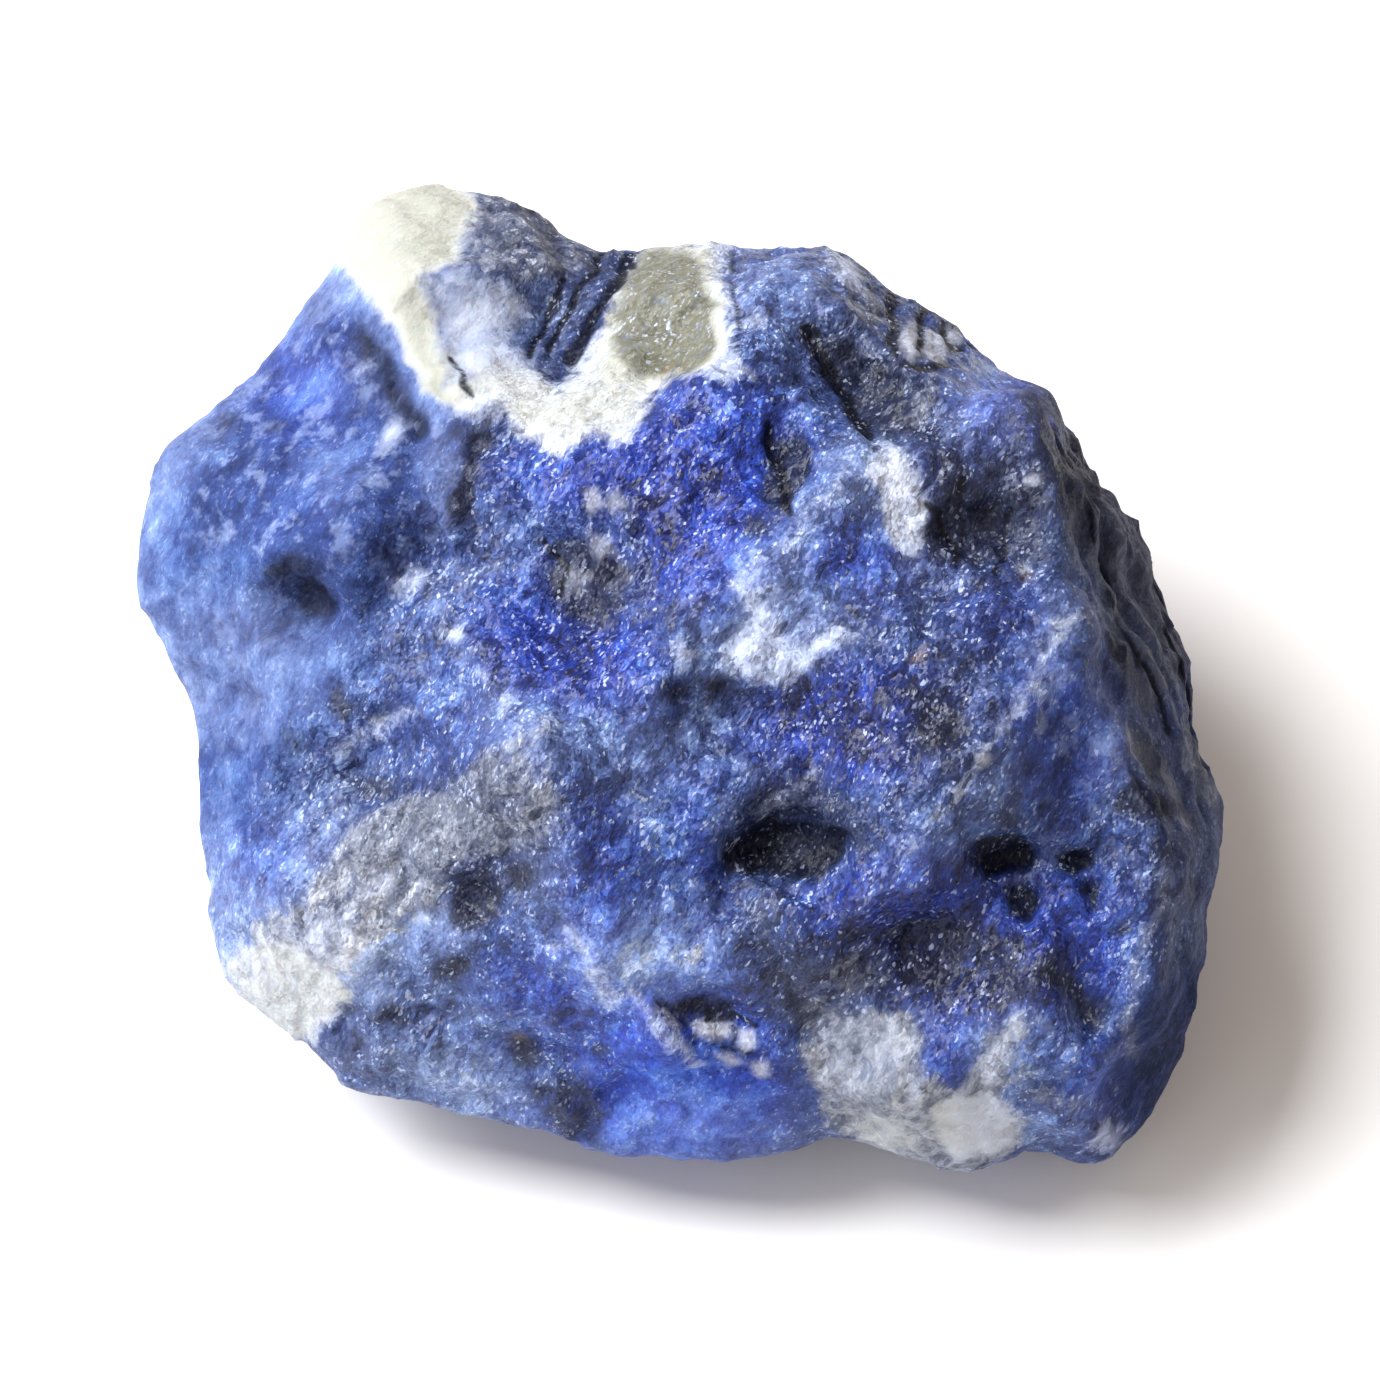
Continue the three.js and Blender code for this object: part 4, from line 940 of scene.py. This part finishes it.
class Grain:
    """The textures that the stone's colour and relief share."""

    def __init__(self, n):
        self.place = n.mapping(n.add("ShaderNodeTexCoord").outputs["Object"], Scale=(1 / MM,) * 3)
        on_face = n.mapping(self.place, Rotation=(-FACE_LEAN, 0, 0))
        aligned = n.mapping(on_face, Rotation=(0, 0, -STROKE_DIRECTION))
        strokes = n.mapping(aligned, Scale=(1 / STROKE_STRETCH, 1, 1))
        bend_inputs = {"Vector": self.place, "Scale": 1 / STROKE_BEND_SIZE, "Detail": 2}
        bends = n.add("ShaderNodeTexNoise", bend_inputs).outputs["Color"]
        along = n.vector("ADD", strokes, n.vector("MULTIPLY", bends, (STROKE_BEND,) * 3))
        self.mottle = n.contrast(n.noise(self.place, MOTTLE_SIZE, 3), MOTTLE_GAIN)
        self.speckle = n.contrast(n.noise(along, SPECKLE_SIZE, 5, roughness=0.8), GRAIN_GAIN)
        dust = n.contrast(n.noise(along, DUST_SIZE, 2, roughness=0.7), GRAIN_GAIN)
        self.flakes = Facets(n, along, FLAKE_SIZE)
        self.chips = Facets(n, along, CHIP_SIZE)
        self.sugar = Facets(n, along, SUGAR_SIZE)
        self.chip_tone = n.math("SUBTRACT", self.chips.tone, 0.5)
        grainy = n.sum(0, (0.5, self.speckle), (0.25, self.chip_tone), (0.35, dust))
        self.tone = n.sum(0.45, (0.9, grainy))
        self.calmed_tone = n.times(grainy, n.sum(0.25, (0.6, n.value("sugar"))))
        self.lively = n.sum(0.35, (0.65, n.value("sugar")))


def patch(n, g, name, fringe=0.3, ragged=0.45):
    """A painted value with a grainy edge, so wide to either side and moved so far by the speckle."""
    value = n.value(name)
    wobble = n.times(n.sum(0, (ragged, g.speckle), (0.25, g.chip_tone)), g.lively)
    edge = n.step(n.math("ADD", value, wobble), 0.5 - fringe, 0.5 + fringe)
    return n.times(edge, n.step(value, 0, FAINT_END))


def blue_colour(n, g):
    """The blues, from deep to milky, with a haze that is partly a painted glow, and pale blotches in them.
    """
    level = n.sum(n.value("milk"), (0.5, g.mottle), (1, g.calmed_tone))
    colour = n.mix(n.value("royal"), n.ramp(level, DUSTY_BLUE), n.ramp(level, ROYAL_BLUE))
    haze = n.times(n.value("haze"), n.sum(1, (1.2, g.speckle), (0.6, g.mottle)), clamp=True)
    colour = n.mix(haze, colour, HAZE_BLUE)
    blotch = n.step(n.sum(n.noise(g.place, BLOTCH_SIZE, 3), (0.12, g.speckle)), *BLOTCH_STEP)
    return n.mix(n.times(blotch, n.times(n.value("cloud"), BLOTCH_SHARE)), colour, BLOTCH_BLUE)


def white_colour(n, g):
    """The white mineral, from cool to olive, shaded where its grain is dark."""
    tone = n.sum(0.25, (1, g.tone), (-0.25, n.value("sugar")))
    return n.mix(n.step(tone, *SHADE_STEP), n.ramp(n.value("warm"), COOL_WHITE_TO_OLIVE), SHADED_WHITE)


def stone_colour(n, g):
    """The blues, the other minerals over them, painted shade in the hollows, and painted glints on the
    grains that catch the light.
    """
    colour = blue_colour(n, g)
    colour = n.mix(n.times(n.value("slate"), SLATE_SHARE, clamp=True), colour, n.ramp(g.tone, SLATE_GRAIN))
    grey_tone = n.sum(0, (1.3, g.calmed_tone), (0.4, g.flakes.tone), (0.6, n.value("milk")))
    colour = n.mix(patch(n, g, "grey"), colour, n.ramp(grey_tone, GREY_GRAIN))
    colour = n.mix(n.times(patch(n, g, "dark"), DARK_SHARE), colour, n.ramp(g.tone, DARK_GRAIN))
    colour = n.mix(patch(n, g, "white", fringe=0.36), colour, white_colour(n, g))
    # painted shine on the glassy cleavage faces
    colour = n.mix(n.value("glass"), colour, PAINTED_SHINE_GREY)
    colour = n.mix(n.value("gold"), colour, GOLDEN)
    # painted shade in the cracks and pits
    crack = patch(n, g, "crack", fringe=0.2, ragged=0.25)
    pit = n.times(patch(n, g, "pit", fringe=0.2, ragged=0.3), PIT_SHARE)
    colour = n.mix(n.times(n.math("MAXIMUM", crack, pit), HOLLOW_SHARE), colour, HOLLOW_SHADE_BLACK)
    # painted glints: grains brightened as if they caught the light, fewer on the dark mineral
    lit = n.step(n.sum(g.sugar.tone, (0.5, g.speckle), (0.3, g.mottle)), *PAINTED_GLINT_STEP)
    painted_glints = n.times(lit, n.sum(n.value("sugar"), (-0.55, n.value("dark"))), clamp=True)
    return n.mix(n.times(painted_glints, PAINTED_GLINT_SHARE), colour, PAINTED_GLINT_BLUE)


def stone_normal(n, g):
    """The relief of the chips, the sugary grains and, in the grey mineral, the flakes."""
    fine = n.sum(0, (1.1, g.chips.height), (1.4, g.sugar.height), (0.03, g.speckle))
    flakes = n.times(g.flakes.height, n.value("grey"))
    height = n.sum(n.times(fine, g.lively), (0.6, flakes))
    bump = n.add("ShaderNodeBump", {"Height": height, "Strength": BUMP_STRENGTH, "Distance": MM})
    return bump.outputs["Normal"]


def stone_material():
    """The stone: sugary places glitter, and calm ones are duller and let more light in."""
    n = Nodes("sodalite")
    g = Grain(n)
    sugar = n.value("sugar")
    return n.finish({
        "Base Color": stone_colour(n, g),
        "Normal": stone_normal(n, g),
        "Roughness": n.sum(0.78, (-0.35, sugar)),
        "Subsurface Weight": n.sum(0.3, (-0.25, sugar)),
        "Subsurface Scale": SCATTER_DEPTH,
        "Specular IOR Level": n.sum(0.1, (0.3, sugar), (-0.25, n.value("pit")), (-0.25, n.value("crack"))),
    })


# ---- The stage ----
def add_table():
    corners = [(TABLE_HALF * x, TABLE_HALF * y, 0) for x, y in ((-1, -1), (1, -1), (1, 1), (-1, 1))]
    mesh = bpy.data.meshes.new("table")
    mesh.from_pydata(corners, [], [(0, 1, 2, 3)])
    looks = {"Base Color": TABLE_COLOUR, "Roughness": TABLE_ROUGHNESS}
    mesh.materials.append(Nodes("white_table").finish(looks))
    table = new_object("table", mesh)


def add_camera():
    """A camera square on to the broad face, as far away as the photograph's."""
    data = bpy.data.cameras.new("camera")
    data.sensor_width = SENSOR_WIDTH
    data.lens = SENSOR_WIDTH * CAMERA_DISTANCE / FRAME_WIDTH
    data.clip_start = CLIP_NEAR
    data.clip_end = CLIP_FAR
    camera = new_object("camera", data)
    camera.location = from_face(np.array([[FRAME_CENTRE_X, 0, CAMERA_DISTANCE]]))[0] * MM
    camera.rotation_euler = (FACE_LEAN, 0, 0)
    bpy.context.scene.camera = camera


def add_light(name, toward, distance, size, watts, colour):
    """A square soft light at a bearing and height, in degrees, that faces the stone."""
    data = bpy.data.lights.new(name, "AREA")
    data.size = size
    data.energy = watts
    data.color = colour
    light = new_object(name, data)
    bearing, height = (math.radians(v) for v in toward)
    out, up = distance * math.cos(height), distance * math.sin(height)
    light.location = (out * math.cos(bearing), out * math.sin(bearing), up)
    light.rotation_euler = (math.pi / 2 - height, 0, bearing + math.pi / 2)


def add_world():
    world = bpy.data.worlds.new("studio")
    world.use_nodes = True
    background = world.node_tree.nodes["Background"]
    background.inputs["Color"].default_value = ROOM_COLOUR
    background.inputs["Strength"].default_value = ROOM_STRENGTH
    bpy.context.scene.world = world


def add_stage():
    add_table()
    add_camera()
    add_world()
    add_light("key", toward=(161, 53), distance=0.5, size=0.3, watts=4.9, colour=(0.97, 0.985, 1))
    add_light("fill", toward=(212, 24), distance=0.5, size=0.4, watts=1, colour=(0.78, 0.87, 1))
    bpy.context.scene.view_settings.view_transform = "Standard"


def main():
    stone = stone_piece(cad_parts["sodalite_stone"])
    stone.data.materials.append(stone_material())
    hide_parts("sodalite_stone")
    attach(stone, "root")
    add_stage()


main()
